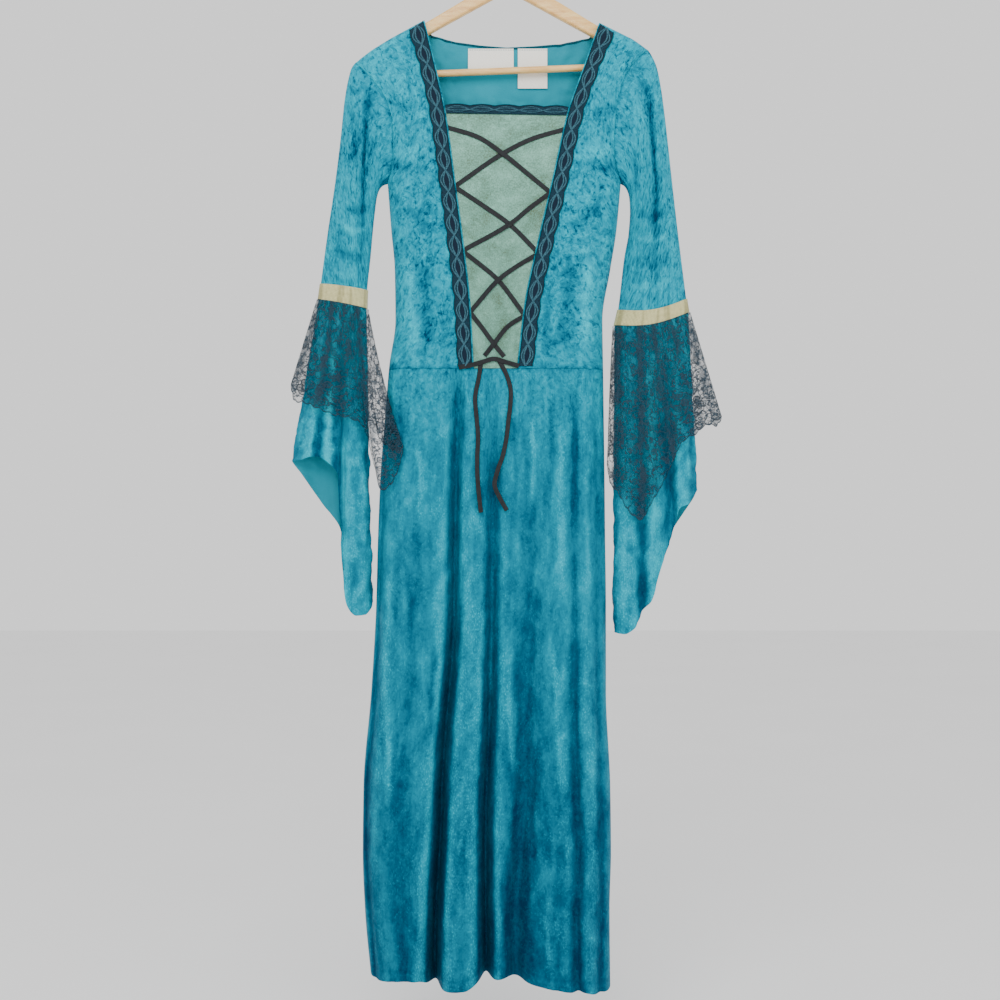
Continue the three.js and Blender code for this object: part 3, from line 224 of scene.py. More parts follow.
def velvetFinish():
    f = Finish("crushedVelvet")
    at = f.warped(f.cut((1.0, 0.7, 1.0)), 44.0, 0.011)
    # slow drifts of shade, then streaks and patches drawn out down the cloth
    cloud = f.noise(f.cut(), velvet["cloud"], 2.0)
    streaks = f.noise(f.warped(f.cut((1.0, 0.14, 1.0)), 30.0, 0.006), velvet["streaks"], 4.0, 0.6)
    tall = f.warped(f.cut((1.0, 0.36, 1.0)), 26.0, 0.012)
    mottle = f.noise(tall, velvet["mottle"], 2.0, 0.5)
    ridges = (f.noise(tall, velvet["ridges"], 3.0, 0.6) - 0.5).math("ABSOLUTE").band(0.035, 0.0)
    patches = f.noise(at, velvet["patches"], 3.0, 0.6)
    # thin cracks where the crushed pile catches the light, and others where it hides it
    bright = (f.noise(at, velvet["cracks"], 3.0, 0.6) - 0.5).math("ABSOLUTE").band(0.04, 0.0)
    shifted = f.node("ShaderNodeVectorMath", {"operation": "ADD"}, {0: at, 1: (3.7, 1.9, 0.0)})
    dark = (f.noise(shifted, velvet["cracks"] * 0.8, 3.0, 0.6) - 0.5).math("ABSOLUTE").band(0.04, 0.0)
    fibre = f.noise(f.cut((1.0, 0.5, 1.0)), velvet["fibre"], 2.0, 0.6)
    fold = f.attribute("fold")
    # painted glints on the pile's tips where ridges stand out; the upper gown is paler by painted light,
    # with small dark pits
    paintedGlints = fibre.band(0.5, 0.66) * (fold.band(0.02, 0.4) * 0.7 + ridges * 0.6)
    height = f.split(f.place(), "Z")
    upper = height.band(-0.8, -0.5)
    crushed = f.noise(at, velvet["patches"] * 0.14, 2.0).band(0.38, 0.6)
    pits = patches.band(0.46, 0.34) * (crushed * 0.2 + 0.04)
    tone = (cloud - 0.5) * 0.2 + (streaks - 0.5) * (0.52 - upper * 0.16)
    tone = tone + (mottle - 0.5) * (0.34 - upper * 0.16) + (fibre - 0.5) * 0.14 - pits * upper
    tone = tone + (patches - 0.5) * (upper * 0.22 + 0.24) + (bright - dark) * (upper * 0.1 + 0.04)
    # painted highlight on ridges and painted shade in folds, from "fold"; then painted light, paler at the
    # top and darker down the skirt
    tone = tone + fold * 0.2 + paintedGlints * (0.22 - upper * 0.1)
    tone = tone + height.band(-1.5, -0.85) * 0.16 + upper * 0.13 + height.band(-0.35, -0.05) * 0.08 + 0.26
    colour = f.ramp(
        tone,
        (0.02, velvet["navy"]),
        (0.22, velvet["deep"]),
        (0.43, velvet["mid"]),
        (0.62, velvet["light"]),
        (0.92, velvet["bright"]),
    )
    relief = patches * 0.6 + mottle * 0.5 + ridges * 0.15 + bright * 0.2 - dark * 0.2
    return f.finish(
        Base_Color=colour,
        Roughness=0.74 - tone.math("MULTIPLY", 0.2, clamp=True),
        Sheen_Weight=0.05,
        Sheen_Roughness=0.4,
        Sheen_Tint=paint(0, 200, 240),
        Specular_IOR_Level=0.12,
        Specular_Tint=paint(0, 200, 235),
        Normal=f.bump(relief, 0.0014, 0.9),
    )


def backingFinish():  # the velvet's wrong side, flat and matt
    f = Finish("velvetWrongSide")
    fine = f.noise(f.cut(), 900.0, 2.0)
    soft = f.noise(f.cut(), 14.0, 3.0)
    colour = f.ramp(soft * 0.7 + fine * 0.3, (0.3, paint(0, 120, 138)), (0.7, paint(0, 150, 170)))
    return f.finish(
        Base_Color=colour, Roughness=0.85, Specular_IOR_Level=0.3, Normal=f.bump(fine, 0.0004, 0.5)
    )


lace = {
    "thread": paint(32, 54, 68),
    "flowers": 62.0,
    "vines": 74.0,
    "net": 420.0,
    "veil": 0.07,
}


def laceFinish():  # a fine net, with vines and open flowers worked on it
    f = Finish("floralLace")
    at = f.warped(f.cut(), 38.0, 0.008)
    # each cell holds a flower: its reach round the centre rises and falls for five petals
    settings = {"voronoi_dimensions": "2D", "feature": "F1"}
    sockets = {"Vector": at, "Scale": lace["flowers"], "Randomness": 0.9}
    away = f.node("ShaderNodeTexVoronoi", settings, sockets, "Distance")
    centre = f.node("ShaderNodeTexVoronoi", settings, sockets, "Position")
    spread = {0: at, 1: (lace["flowers"],) * 3}
    scaled = f.node("ShaderNodeVectorMath", {"operation": "MULTIPLY"}, spread)
    reach = f.node("ShaderNodeVectorMath", {"operation": "SUBTRACT"}, {0: scaled, 1: centre})
    angle = f.split(reach, "Y").math("ARCTAN2", f.split(reach, "X"))
    petals = (angle * 5.0).math("SINE") * 0.07 + 0.3
    inPetal = (petals - away).band(-0.01, 0.03)
    rim = (away - petals).math("ABSOLUTE").band(0.07, 0.02) * 0.75
    eye = away.band(0.09, 0.05) * 0.7
    flower = (inPetal * 0.3).math("MAXIMUM", rim).math("MAXIMUM", eye)
    grown = f.noise(f.cut(), 26.0, 2.0).band(0.42, 0.56)
    flower = flower * grown
    vines = f.noise(at, lace["vines"], 2.0)
    vine = (vines - 0.5).math("ABSOLUTE").band(0.035, 0.01) * 0.65
    leaf = f.noise(at, lace["vines"] * 1.8, 2.0).band(0.58, 0.66) * 0.6
    diagonal = f.cut((1, 1, 1), math.radians(45))  # the net's threads lie on the cross
    net = None
    for axis in ("X", "Y"):
        thread = (f.split(diagonal, axis) * lace["net"] * 2 * math.pi).math("SINE").band(0.7, 0.95)
        net = thread if net is None else net.math("MAXIMUM", thread)
    work = flower.math("MAXIMUM", vine).math("MAXIMUM", leaf)
    edge = f.attribute("edge")
    cover = work.math("MAXIMUM", net * 0.2).math("MAXIMUM", edge * 0.85)
    # more opaque at random and where painted fold shade lies, on top of the net's even veil
    veil = f.attribute("fold").band(0.1, 1.0) * 0.34 + lace["veil"]
    alpha = cover + (1 - cover) * veil
    return f.finish(
        Base_Color=lace["thread"],
        Roughness=0.75,
        Alpha=alpha,
        Specular_IOR_Level=0.2,
        Normal=f.bump(cover, 0.0008, 0.8),
    )


def insertFinish():  # pale green cloth with a soft gold shine, mottled
    f = Finish("insertCloth")
    at = f.warped(f.cut(), 30.0, 0.01)
    soft = f.noise(at, 24.0, 4.0, 0.6)
    crackle = f.noise(at, 130.0, 4.0, 0.7, "RIDGED_MULTIFRACTAL")
    weave = f.noise(f.cut((1.0, 0.7, 1.0)), 620.0, 3.0, 0.7)
    tone = soft * 0.5 + crackle * 0.16 + weave * 0.56
    colour = f.ramp(
        tone,
        (0.37, paint(66, 80, 46)),
        (0.49, paint(76, 122, 104)),
        (0.66, paint(108, 160, 142)),
    )
    return f.finish(
        Base_Color=colour,
        Roughness=0.55 - tone.math("MULTIPLY", 0.2, clamp=True),
        Metallic=0.3,
        Normal=f.bump(crackle * 0.5 + weave * 0.5, 0.0007, 0.7),
    )


def trimFinish(name, dark, light, eye=None):  # twisted embroidery thread, darker in its ovals
    f = Finish(name)
    twist = f.noise(f.place(), 700.0, 4.0, 0.75)
    colour = f.ramp(twist, (0.38, dark), (0.62, light))
    if eye:
        colour = f.mix(f.attribute("fold").band(0.15, 0.75), colour, eye)
    look = {"Roughness": 0.75, "Specular_IOR_Level": 0.2}
    return f.finish(Base_Color=colour, **look, Normal=f.bump(twist, 0.0008, 1.0))


def ribbonFinish():
    f = Finish("ribbonSatin")
    ribs = (f.split(f.cut(), "Y") * 5200.0).math("SINE")
    cloud = f.noise(f.cut(), 160.0, 2.0)
    colour = f.ramp(cloud, (0.3, paint(11, 14, 17)), (0.7, paint(27, 30, 34)))
    sheen = {"Specular_IOR_Level": 0.22, "Roughness": 0.5}
    return f.finish(Base_Color=colour, **sheen, Normal=f.bump(ribs, 0.00015, 0.5))


def bandFinish():  # gold braid, its threads in a herringbone
    f = Finish("goldBraid")
    along, across = f.split(f.cut(), "X"), f.split(f.cut(), "Y")
    zigzag = (across * 620.0).math("PINGPONG", 1.0)
    threads = ((along * 520.0 + zigzag * 0.5) * 2 * math.pi).math("SINE") * 0.5 + 0.5
    cloud = f.noise(f.cut(), 220.0, 3.0)
    # soft darker streaks across the braid
    bent = f.noise(f.cut((1.0, 0.1, 1.0)), 60.0, 2.0).band(0.5, 0.36) * 0.4
    colour = f.ramp(
        threads * 0.6 + cloud * 0.5 - bent, (0.1, paint(140, 134, 88)), (0.8, paint(226, 220, 162))
    )
    return f.finish(
        Base_Color=colour, Roughness=0.45, Metallic=0.35, Normal=f.bump(threads, 0.0005, 0.9)
    )


def labelFinish():
    f = Finish("labelSatin")
    weave = f.noise(f.cut((0.3, 1.0, 1.0)), 1400.0, 2.0)
    colour = f.ramp(weave, (0.3, paint(226, 224, 214)), (0.7, paint(244, 243, 236)))
    return f.finish(Base_Color=colour, Roughness=0.5, Normal=f.bump(weave, 0.0002, 0.5))


def woodFinish():
    f = Finish("paleWood")
    at = f.node(
        "ShaderNodeMapping", None, {"Vector": f.place(), "Scale": (1.0, 6.0, 7.0), "Rotation": (0, 0.3, 0)}
    )
    rings = f.noise(f.warped(at, 9.0, 0.02), 26.0, 4.0, 0.6)
    fibre = f.noise(at, 160.0, 3.0, 0.6)
    colour = f.ramp(
        rings * 0.7 + fibre * 0.3,
        (0.32, paint(200, 146, 78)),
        (0.5, paint(230, 182, 108)),
        (0.7, paint(242, 208, 140)),
    )
    return f.finish(
        Base_Color=colour, Roughness=0.42, Coat_Weight=0.25, Normal=f.bump(fibre, 0.0003, 0.4)
    )


def steelFinish():
    f = Finish("hookSteel")
    brushed = f.noise(f.place(), 700.0, 2.0)
    return f.finish(
        Base_Color=paint(196, 198, 202), Metallic=1.0, Roughness=brushed * 0.14 + 0.2
    )


finishes = {
    "velvet": velvetFinish(),
    "backing": backingFinish(),
    "lace": laceFinish(),
    "insert_cloth": insertFinish(),
    "trim": trimFinish("trimNet", paint(2, 24, 38), paint(14, 54, 70), paint(4, 26, 44)),
    "cord": trimFinish("trimCord", paint(0, 30, 42), paint(10, 58, 72)),
    "strand": trimFinish("trimThread", paint(16, 58, 74), paint(66, 110, 124)),
    "binding": trimFinish("neckBinding", paint(0, 56, 70), paint(14, 90, 106)),
    "ribbon": ribbonFinish(),
    "band": bandFinish(),
    "label": labelFinish(),
    "stitch": trimFinish("sewingThread", paint(0, 104, 124), paint(20, 140, 160)),
    "wood": woodFinish(),
    "steel": steelFinish(),
}
print("finishes made")


# Cloth walls
def gridNormals(points, closed, outward):
    here = points if closed else points[:, :-1]
    following = np.roll(points, -1, axis=1) if closed else points[:, 1:]
    cells = np.cross(here[1:] - following[:-1], following[1:] - here[:-1])
    cells /= np.linalg.norm(cells, axis=2, keepdims=True) + 1e-9
    normals = np.zeros_like(points)
    for rows in (slice(None, -1), slice(1, None)):
        if closed:
            normals[rows] += cells + np.roll(cells, 1, axis=1)
        else:
            normals[rows, :-1] += cells
            normals[rows, 1:] += cells
    normals /= np.linalg.norm(normals, axis=2, keepdims=True) + 1e-9
    row, column = points.shape[0] // 2, 0 if closed else points.shape[1] // 2
    turned = float(np.dot(normals[row, column], outward)) < 0
    return (-normals, -1) if turned else (normals, 1)


def flatLengths(points, closed):  # distances along rows and down columns, in metres
    ring = np.concatenate([points, points[:, :1]], axis=1) if closed else points
    along = np.linalg.norm(np.diff(ring, axis=1), axis=2)
    down = np.linalg.norm(np.diff(ring, axis=0), axis=2)
    u = np.concatenate([[0], np.cumsum(along.mean(axis=0))])
    v = np.concatenate([np.zeros((1, ring.shape[1])), np.cumsum(down, axis=0)])
    return u / 1000, v / 1000


# A wall from its outer face's grid: rows run down the cloth, columns across or all round. "shift"
# moves the pattern on, so that no two pieces match, and "values" are attributes for the finish
def clothMesh(name, points, thickness, outward, closed=False, shift=0.0, values=None):
    rows, columns = points.shape[:2]
    normals, side = gridNormals(points, closed, outward)
    inner = points - normals * thickness
    vertices = np.concatenate([points.reshape(-1, 3), inner.reshape(-1, 3)]) / 1000
    last = columns if closed else columns - 1
    i, j = [part.ravel() for part in np.meshgrid(range(rows - 1), range(last), indexing="ij")]

    def corners(layer, row, column):
        return np.stack([layer * np.ones_like(row), row, column], axis=-1)

    def quads(*places):
        return np.stack(places, axis=1)

    top = quads(corners(0, i, j), corners(0, i, j + 1), corners(0, i + 1, j + 1), corners(0, i + 1, j))
    under = quads(corners(1, i, j), corners(1, i + 1, j), corners(1, i + 1, j + 1), corners(1, i, j + 1))
    k = np.arange(last)
    z = np.zeros_like(k)
    r = z + rows - 1
    start = quads(corners(0, z, k), corners(1, z, k), corners(1, z, k + 1), corners(0, z, k + 1))
    end = quads(corners(0, r, k), corners(0, r, k + 1), corners(1, r, k + 1), corners(1, r, k))
    parts = [top, under, start, end]
    if not closed:
        k = np.arange(rows - 1)
        z = np.zeros_like(k)
        c = z + columns - 1
        parts.append(quads(corners(0, k, z), corners(0, k + 1, z), corners(1, k + 1, z), corners(1, k, z)))
        parts.append(quads(corners(0, k, c), corners(1, k, c), corners(1, k + 1, c), corners(0, k + 1, c)))
    faces = np.concatenate(parts)
    if side > 0:
        faces = faces[:, ::-1]
    index = faces[..., 0] * rows * columns + faces[..., 1] * columns + faces[..., 2] % columns
    mesh = bpy.data.meshes.new(name)
    mesh.from_pydata(vertices.tolist(), [], index.tolist())
    u, v = flatLengths(points, closed)
    flat = faces.reshape(-1, 3)
    spread = np.stack([u[flat[:, 2]] + shift, v[flat[:, 1], flat[:, 2]] + shift * 0.7], axis=1)
    layer = mesh.uv_layers.new(name="cut")
    layer.data.foreach_set("uv", spread.astype(np.float32).ravel())
    for key, value in (values or {}).items():
        doubled = np.concatenate([value.ravel(), value.ravel()]).astype(np.float32)
        mesh.attributes.new(key, "FLOAT", "POINT").data.foreach_set("value", doubled)
    isInner = np.zeros(len(faces), np.int32)
    isInner[len(top) : len(top) + len(under)] = 1
    mesh.polygons.foreach_set("material_index", isInner)
    mesh.polygons.foreach_set("use_smooth", np.ones(len(faces), bool))
    mesh.update()
    mesh.set_sharp_from_angle(angle=math.radians(70))
    piece = bpy.data.objects.new(name, mesh)
    bpy.context.collection.objects.link(piece)
    return piece


def sheetSizes(points, closed, pointed):  # a pointed hem's width is taken level
    ring = np.concatenate([points, points[:, :1]], axis=1) if closed else points
    level = ring[..., :2] if pointed else ring
    along = np.linalg.norm(np.diff(level, axis=1), axis=2).sum(axis=1)
    down = np.linalg.norm(np.diff(ring, axis=0), axis=2).sum(axis=0)
    one = ring[1:, 1:] - ring[:-1, :-1]
    two = ring[1:, :-1] - ring[:-1, 1:]
    area = 0.5 * np.linalg.norm(np.cross(one, two), axis=2).sum()
    width, length = along.max() / 1000, down.max() / 1000
    return (width, length), min(area / 1e6, width * length)


narrowestSheet = 0.01  # metres; a ribbon is narrower


def dress(piece, node):
    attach(piece, "root")
    if node:
        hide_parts(node)
    return piece


def addCloth(name, node, slot, points, thickness, outward, **options):
    held = options.pop("held", "hung")
    restsOn = options.pop("restsOn", [])
    inside = options.pop("inside", slot)
    pointed = options.pop("pointed", options.get("closed", False))
    piece = clothMesh(name, points, thickness, outward, **options)
    piece.data.materials.append(finishes[slot])
    piece.data.materials.append(finishes[inside])
    dress(piece, node)
    flat, area = sheetSizes(points, options.get("closed", False), pointed)
    min(flat) >= narrowestSheet


# Thread laid along lines: a small node group sweeps a round section along them
def threadGroup():
    group = bpy.data.node_groups.new("threadAlong", "GeometryNodeTree")
    face = group.interface
    face.new_socket("Geometry", in_out="INPUT", socket_type="NodeSocketGeometry")
    face.new_socket("Radius", in_out="INPUT", socket_type="NodeSocketFloat")
    face.new_socket("Sides", in_out="INPUT", socket_type="NodeSocketInt")
    face.new_socket("Finish", in_out="INPUT", socket_type="NodeSocketMaterial")
    face.new_socket("Geometry", in_out="OUTPUT", socket_type="NodeSocketGeometry")
    given = group.nodes.new("NodeGroupInput")
    lines = group.nodes.new("GeometryNodeMeshToCurve")
    section = group.nodes.new("GeometryNodeCurvePrimitiveCircle")
    sweep = group.nodes.new("GeometryNodeCurveToMesh")
    smoothed = group.nodes.new("GeometryNodeSetShadeSmooth")
    real = group.nodes.new("GeometryNodeRealizeInstances")
    dressed = group.nodes.new("GeometryNodeSetMaterial")
    made = group.nodes.new("NodeGroupOutput")
    sweep.inputs["Fill Caps"].default_value = True
    for source, output, target, name in (
        (given, "Geometry", lines, "Mesh"),
        (given, "Radius", section, "Radius"),
        (given, "Sides", section, "Resolution"),
        (lines, "Curve", sweep, "Curve"),
        (section, "Curve", sweep, "Profile Curve"),
        (sweep, "Mesh", smoothed, "Geometry"),
        (smoothed, "Geometry", real, "Geometry"),
        (real, "Geometry", dressed, "Geometry"),
        (given, "Finish", dressed, "Material"),
        (dressed, "Geometry", made, "Geometry"),
    ):
        group.links.new(source.outputs[output], target.inputs[name])
    return group


threads = threadGroup()


def addThreads(name, finish, lines, radius, sides=6, node=None):
    mesh = bpy.data.meshes.new(name)
    vertices, edges = [], []
    for line in lines:
        first = len(vertices)
        vertices += (np.asarray(line) / 1000).tolist()
        edges += [(k, k + 1) for k in range(first, len(vertices) - 1)]
    mesh.from_pydata(vertices, edges, [])
    piece = bpy.data.objects.new(name, mesh)
    bpy.context.collection.objects.link(piece)
    modifier = piece.modifiers.new("threadAlong", "NODES")
    modifier.node_group = threads
    given = {item.name: item.identifier for item in threads.interface.items_tree if item.in_out == "INPUT"}
    modifier[given["Radius"]] = radius / 1000
    modifier[given["Sides"]] = sides
    modifier[given["Finish"]] = finishes[finish]
    evaluated = piece.evaluated_get(bpy.context.evaluated_depsgraph_get())
    made = bpy.data.meshes.new_from_object(evaluated)
    piece.modifiers.remove(modifier)
    piece.data = made
    made.name = name
    dress(piece, node)


# Soft unevenness: a sum of slow waves in many directions, the same on every run
def waves(u, v, size, seed, stretch=1.0):
    chance = np.random.default_rng(seed)
    total = np.zeros_like(u, dtype=float)
    bent = u + 0.35 * size * np.sin(v / size * 1.7 + seed), v + 0.35 * size * np.sin(u / size * 1.3)
    for _ in range(14):
        angle = chance.uniform(0, math.pi)
        pace = 2 * math.pi / (size * chance.uniform(0.7, 1.8))
        total += np.sin(
            pace * (bent[0] * math.cos(angle) + bent[1] / stretch * math.sin(angle))
            + chance.uniform(0, 2 * math.pi)
        )
    return total / math.sqrt(7)


# Creases: each follows its points, in x and z, and sinks or stands by its depth
def creases(x, z, rows):
    total = np.zeros_like(x, dtype=float)
    for width, depth, *path in rows:
        path = np.array(path, float)
        steps = np.linalg.norm(np.diff(path, axis=0), axis=1)
        whole = steps.sum()
        nearest = np.full(x.shape, 1e9)
        reached = np.zeros_like(nearest)
        passed = 0.0
        for start, end, length in zip(path[:-1], path[1:], steps):
            way = (end - start) / length
            t = np.clip((x - start[0]) * way[0] + (z - start[1]) * way[1], 0, length)
            far = np.hypot(x - start[0] - way[0] * t, z - start[1] - way[1] * t)
            closer = far < nearest
            nearest = np.where(closer, far, nearest)
            reached = np.where(closer, (passed + t) / whole, reached)
            passed += length
        fade = np.clip(np.sin(np.pi * np.clip(reached, 0.02, 0.98)) * 1.6, 0, 1)
        total += depth * fade * np.exp(-((nearest / width) ** 2))
    return total


# The body under everything: silhouette, depths, armholes, seams
waistZ = -633.0
hemZ = -1483.0
halfGap = 0.15
seamGap = 0.3
armholeDepth = 19.0
backShare = 0.85  # the back's depth at an armhole, against the front's
shoulderRound = 16.0

bodySides = table(
    "z left right",
    (-368, -168, 163),
    (-433, -163, 157),
    (-490, -158, 148),
    (-561, -157, 137),
    (-628, -166, 138),
    (-703, -172, 139),
    (-780, -178, 140),
    (-876, -182, 141),
    (-958, -184, 142),
    (-1086, -191, 142),
    (-1221, -202, 148),
    (-1314, -203, 149),
    (-1392, -200, 147),
    (-1510, -189, 148),
)
bodyDepths = table(
    "z front back round",
    (-136, 14, 12, 26),
    (-205, 17, 13, 28),
    (-255, 20, 15, 30),
    (-320, 25, 19, 32),
    (-400, 30, 23, 36),
    (-530, 32, 26, 42),
    (-633, 33, 28, 46),
    (-800, 36, 32, 48),
    (-950, 44, 39, 50),
    (-1100, 53, 46, 54),
    (-1300, 64, 54, 60),
    (-1510, 72, 60, 62),
)
armholes = {
    "left": table(
        "z x",
        (-196, -214),
        (-210, -201),
        (-223, -189),
        (-253, -169),
        (-286, -160),
        (-324, -159),
        (-351, -162),
        (-368, -168),
    ),
    "right": table(
        "z x",
        (-178, 202),
        (-191, 188),
        (-209, 174),
        (-233, 163),
        (-263, 156),
        (-315, 152),
        (-344, 155),
        (-368, 163),
    ),
}
shoulderSeam = table(
    "x z",
    (-214, -196),
    (-189, -178),
    (-165, -163),
    (-116, -136),
    (9, -70),
    (133, -140),
    (179, -163),
    (202, -178),
)
backNeck = table(
    "x z",
    (-116, -136),
    (-106, -153),
    (-73, -162),
    (-37, -167),
    (1, -170),
    (41, -168),
    (77, -165),
    (119, -157),
    (133, -140),
)
neckline = table(
    "z left right",
    (-136, -116, 134),
    (-210, -98, 108),
    (-270, -85, 87),
    (-370, -71, 64),
    (-460, -59, 43),
    (-540, -50, 26),
    (-633, -45, 15),
)


def straight(rows, x):
    return np.interp(x, rows["x"], rows["z"])


def tubeRise(share):
    return np.sqrt(np.sin(np.pi * np.clip(share, 0, 1)))


def bodyEdge(side, z):
    rows = armholes[side]
    top, pit = rows["z"][0], rows["z"][-1]
    onArmhole = (z < top) & (z > pit)
    edge = np.where(z >= top, rows["x"][0], read(bodySides, "z", z, side))
    x = np.where(onArmhole, read(rows, "z", z, "x"), edge)
    depth = np.where(onArmhole, armholeDepth * tubeRise((z - top) / (pit - top)), 0)
    return x, depth


def bodyDepth(face, x, z):
    leftX, leftDepth = bodyEdge("left", z)
    rightX, rightDepth = bodyEdge("right", z)
    fromLeft = np.maximum(x - leftX, 0)
    fromRight = np.maximum(rightX - x, 0)
    edge = np.where(fromLeft < fromRight, leftDepth, rightDepth) * (backShare if face == "back" else 1)
    side = roundRise(np.minimum(fromLeft, fromRight) / read(bodyDepths, "z", z, "round"))
    shoulder = roundRise((straight(shoulderSeam, x) - z) / shoulderRound)
    return edge + (read(bodyDepths, "z", z, face) * shoulder - edge) * side


def bodyY(face, x, z):
    depth = np.maximum(bodyDepth(face, x, z), halfGap)
    return -depth if face == "front" else depth


def bodyNormal(face, x, z):
    step = 0.5
    alongX = (bodyY(face, x + step, z) - bodyY(face, x - step, z)) / (2 * step)
    alongZ = (bodyY(face, x, z + step) - bodyY(face, x, z - step)) / (2 * step)
    normal = np.stack([alongX, -np.ones_like(alongX), alongZ], axis=-1)
    normal /= np.linalg.norm(normal, axis=-1, keepdims=True)
    return normal if face == "front" else -normal


def lifted(face, x, z, lift):
    base = np.stack([x, bodyY(face, x, z), z], axis=-1)
    return base + bodyNormal(face, x, z) * np.asarray(lift)[..., None]


faceWay = {"front": np.array([0.0, -1.0, 0.0]), "back": np.array([0.0, 1.0, 0.0])}

# Ribbons: the lacing, the bar at the waist and its two free tails
ribbon = {
    "width": 6.4,
    "wall": 0.7,
    "tailWall": 0.8,
    "tailLift": 2.2,
    "tailCup": 0.35,
    "waistLift": 1.9,
    "rest": 0.15,  # the lacing's own gap to the insert
    "crossLift": 0.9,  # more where it crosses another stretch
    "keepIn": 0.6,  # the lacing ends this far inside the neckline
}
lacing = (
    ("one", (-81, -295), (-38, -309), (-5, -332), (58, -384), (0, 1, 0)),
    ("two", (76, -299), (36, -311), (-5, -332), (-68, -376), (0, 0, 0)),
    ("three", (-68, -382), (-33, -405), (5, -432), (41, -468), (1, 0, 0)),
    ("four", (59, -390), (33, -409), (5, -432), (-56, -466), (1, 1, 0)),
    ("five", (-56, -473), (-34, -490), (-11, -510), (23, -555), (1, 0, 0)),
    ("six", (40, -476), (16, -490), (-11, -510), (-47, -551), (1, 1, 0)),
    ("seven", (-47, -559), (-33, -577), (-17, -599), (-4, -615), (1, 0, 0)),
    ("eight", (22, -562), (2, -575), (-17, -599), (-29, -614), (1, 1, 0)),
)
waistRibbon = ((-66, -632), (-50, -629), (-32, -624), (-17, -620), (-2, -624), (18, -630))
tails = {
    "left": (
        (-35, -624.8),
        (-38, -646),
        (-43, -673),
        (-41, -703),
        (-39, -729),
        (-40, -754),
        (-40, -781),
        (-38, -807),
        (-35, -834),
    ),
    "right": (
        (-10, -621.8),
        (0, -641),
        (6, -661),
        (6, -682),
        (3, -708),
        (0, -733),
        (-5, -756),
        (-12, -776),
        (-16, -796),
        (-9, -813),
        (1, -831),
    ),
}


def pathThrough(points, at):  # a smooth path through points, paced by the root of their spacing
    points = np.asarray(points, float)
    last = len(points) - 1
    ends = np.concatenate([[2 * points[0] - points[1]], points, [2 * points[-1] - points[-2]]])
    place = np.clip(np.asarray(at) * last, 0, last)
    i = np.minimum(place.astype(int), last - 1)
    t = (place - i)[:, None]
    p = [ends[i + k] for k in range(4)]
    gaps = [np.linalg.norm(p[k + 1] - p[k], axis=1, keepdims=True) ** 0.5 for k in range(3)]
    start = (p[1] - p[0]) / gaps[0] - (p[2] - p[0]) / (gaps[0] + gaps[1]) + (p[2] - p[1]) / gaps[1]
    end = (p[2] - p[1]) / gaps[1] - (p[3] - p[1]) / (gaps[1] + gaps[2]) + (p[3] - p[2]) / gaps[2]
    start, end = start * gaps[1], end * gaps[1]
    a = 2 * p[1] - 2 * p[2] + start + end
    b = -3 * p[1] + 3 * p[2] - 2 * start - end
    return ((a * t + b) * t + start) * t + p[1]


def makeTails():
    for side, places in tails.items():
        points = []
        for i, (x, z) in enumerate(places):
            lift = lerp(0.1, ribbon["tailLift"], min(max((i - 0.7) / 2, 0), 1))
            skirtY = float(bodyY("front", np.array(float(x)), np.array(float(z))))
            points.append((x, skirtY - lift - ribbon["wall"], z))
        middle = pathThrough(points, np.linspace(0, 1, 110))
        along = np.gradient(middle, axis=0)
        along /= np.linalg.norm(along, axis=1, keepdims=True)
        across = np.cross(along, faceWay["front"])
        across /= np.linalg.norm(across, axis=1, keepdims=True)
        reach = np.linspace(-0.5, 0.5, 5)[None, :, None] * ribbon["width"]
        out = np.cross(across, along)
        out *= np.sign(out @ faceWay["front"])[:, None]
        cup = ribbon["tailCup"] * (1 - (2 * reach / ribbon["width"]) ** 2)
        strip = middle[:, None] + across[:, None] * reach + out[:, None] * (ribbon["tailWall"] / 2 + cup)
        piece = clothMesh(f"tail_{side}_ribbon", strip, ribbon["tailWall"], faceWay["front"])
        piece.data.materials.append(finishes["ribbon"])
        piece.data.materials.append(finishes["ribbon"])
        dress(piece, f"ribbon_tail_{side}")
        route = (middle / 1000).tolist()


makeTails()
print("ribbon tails made")


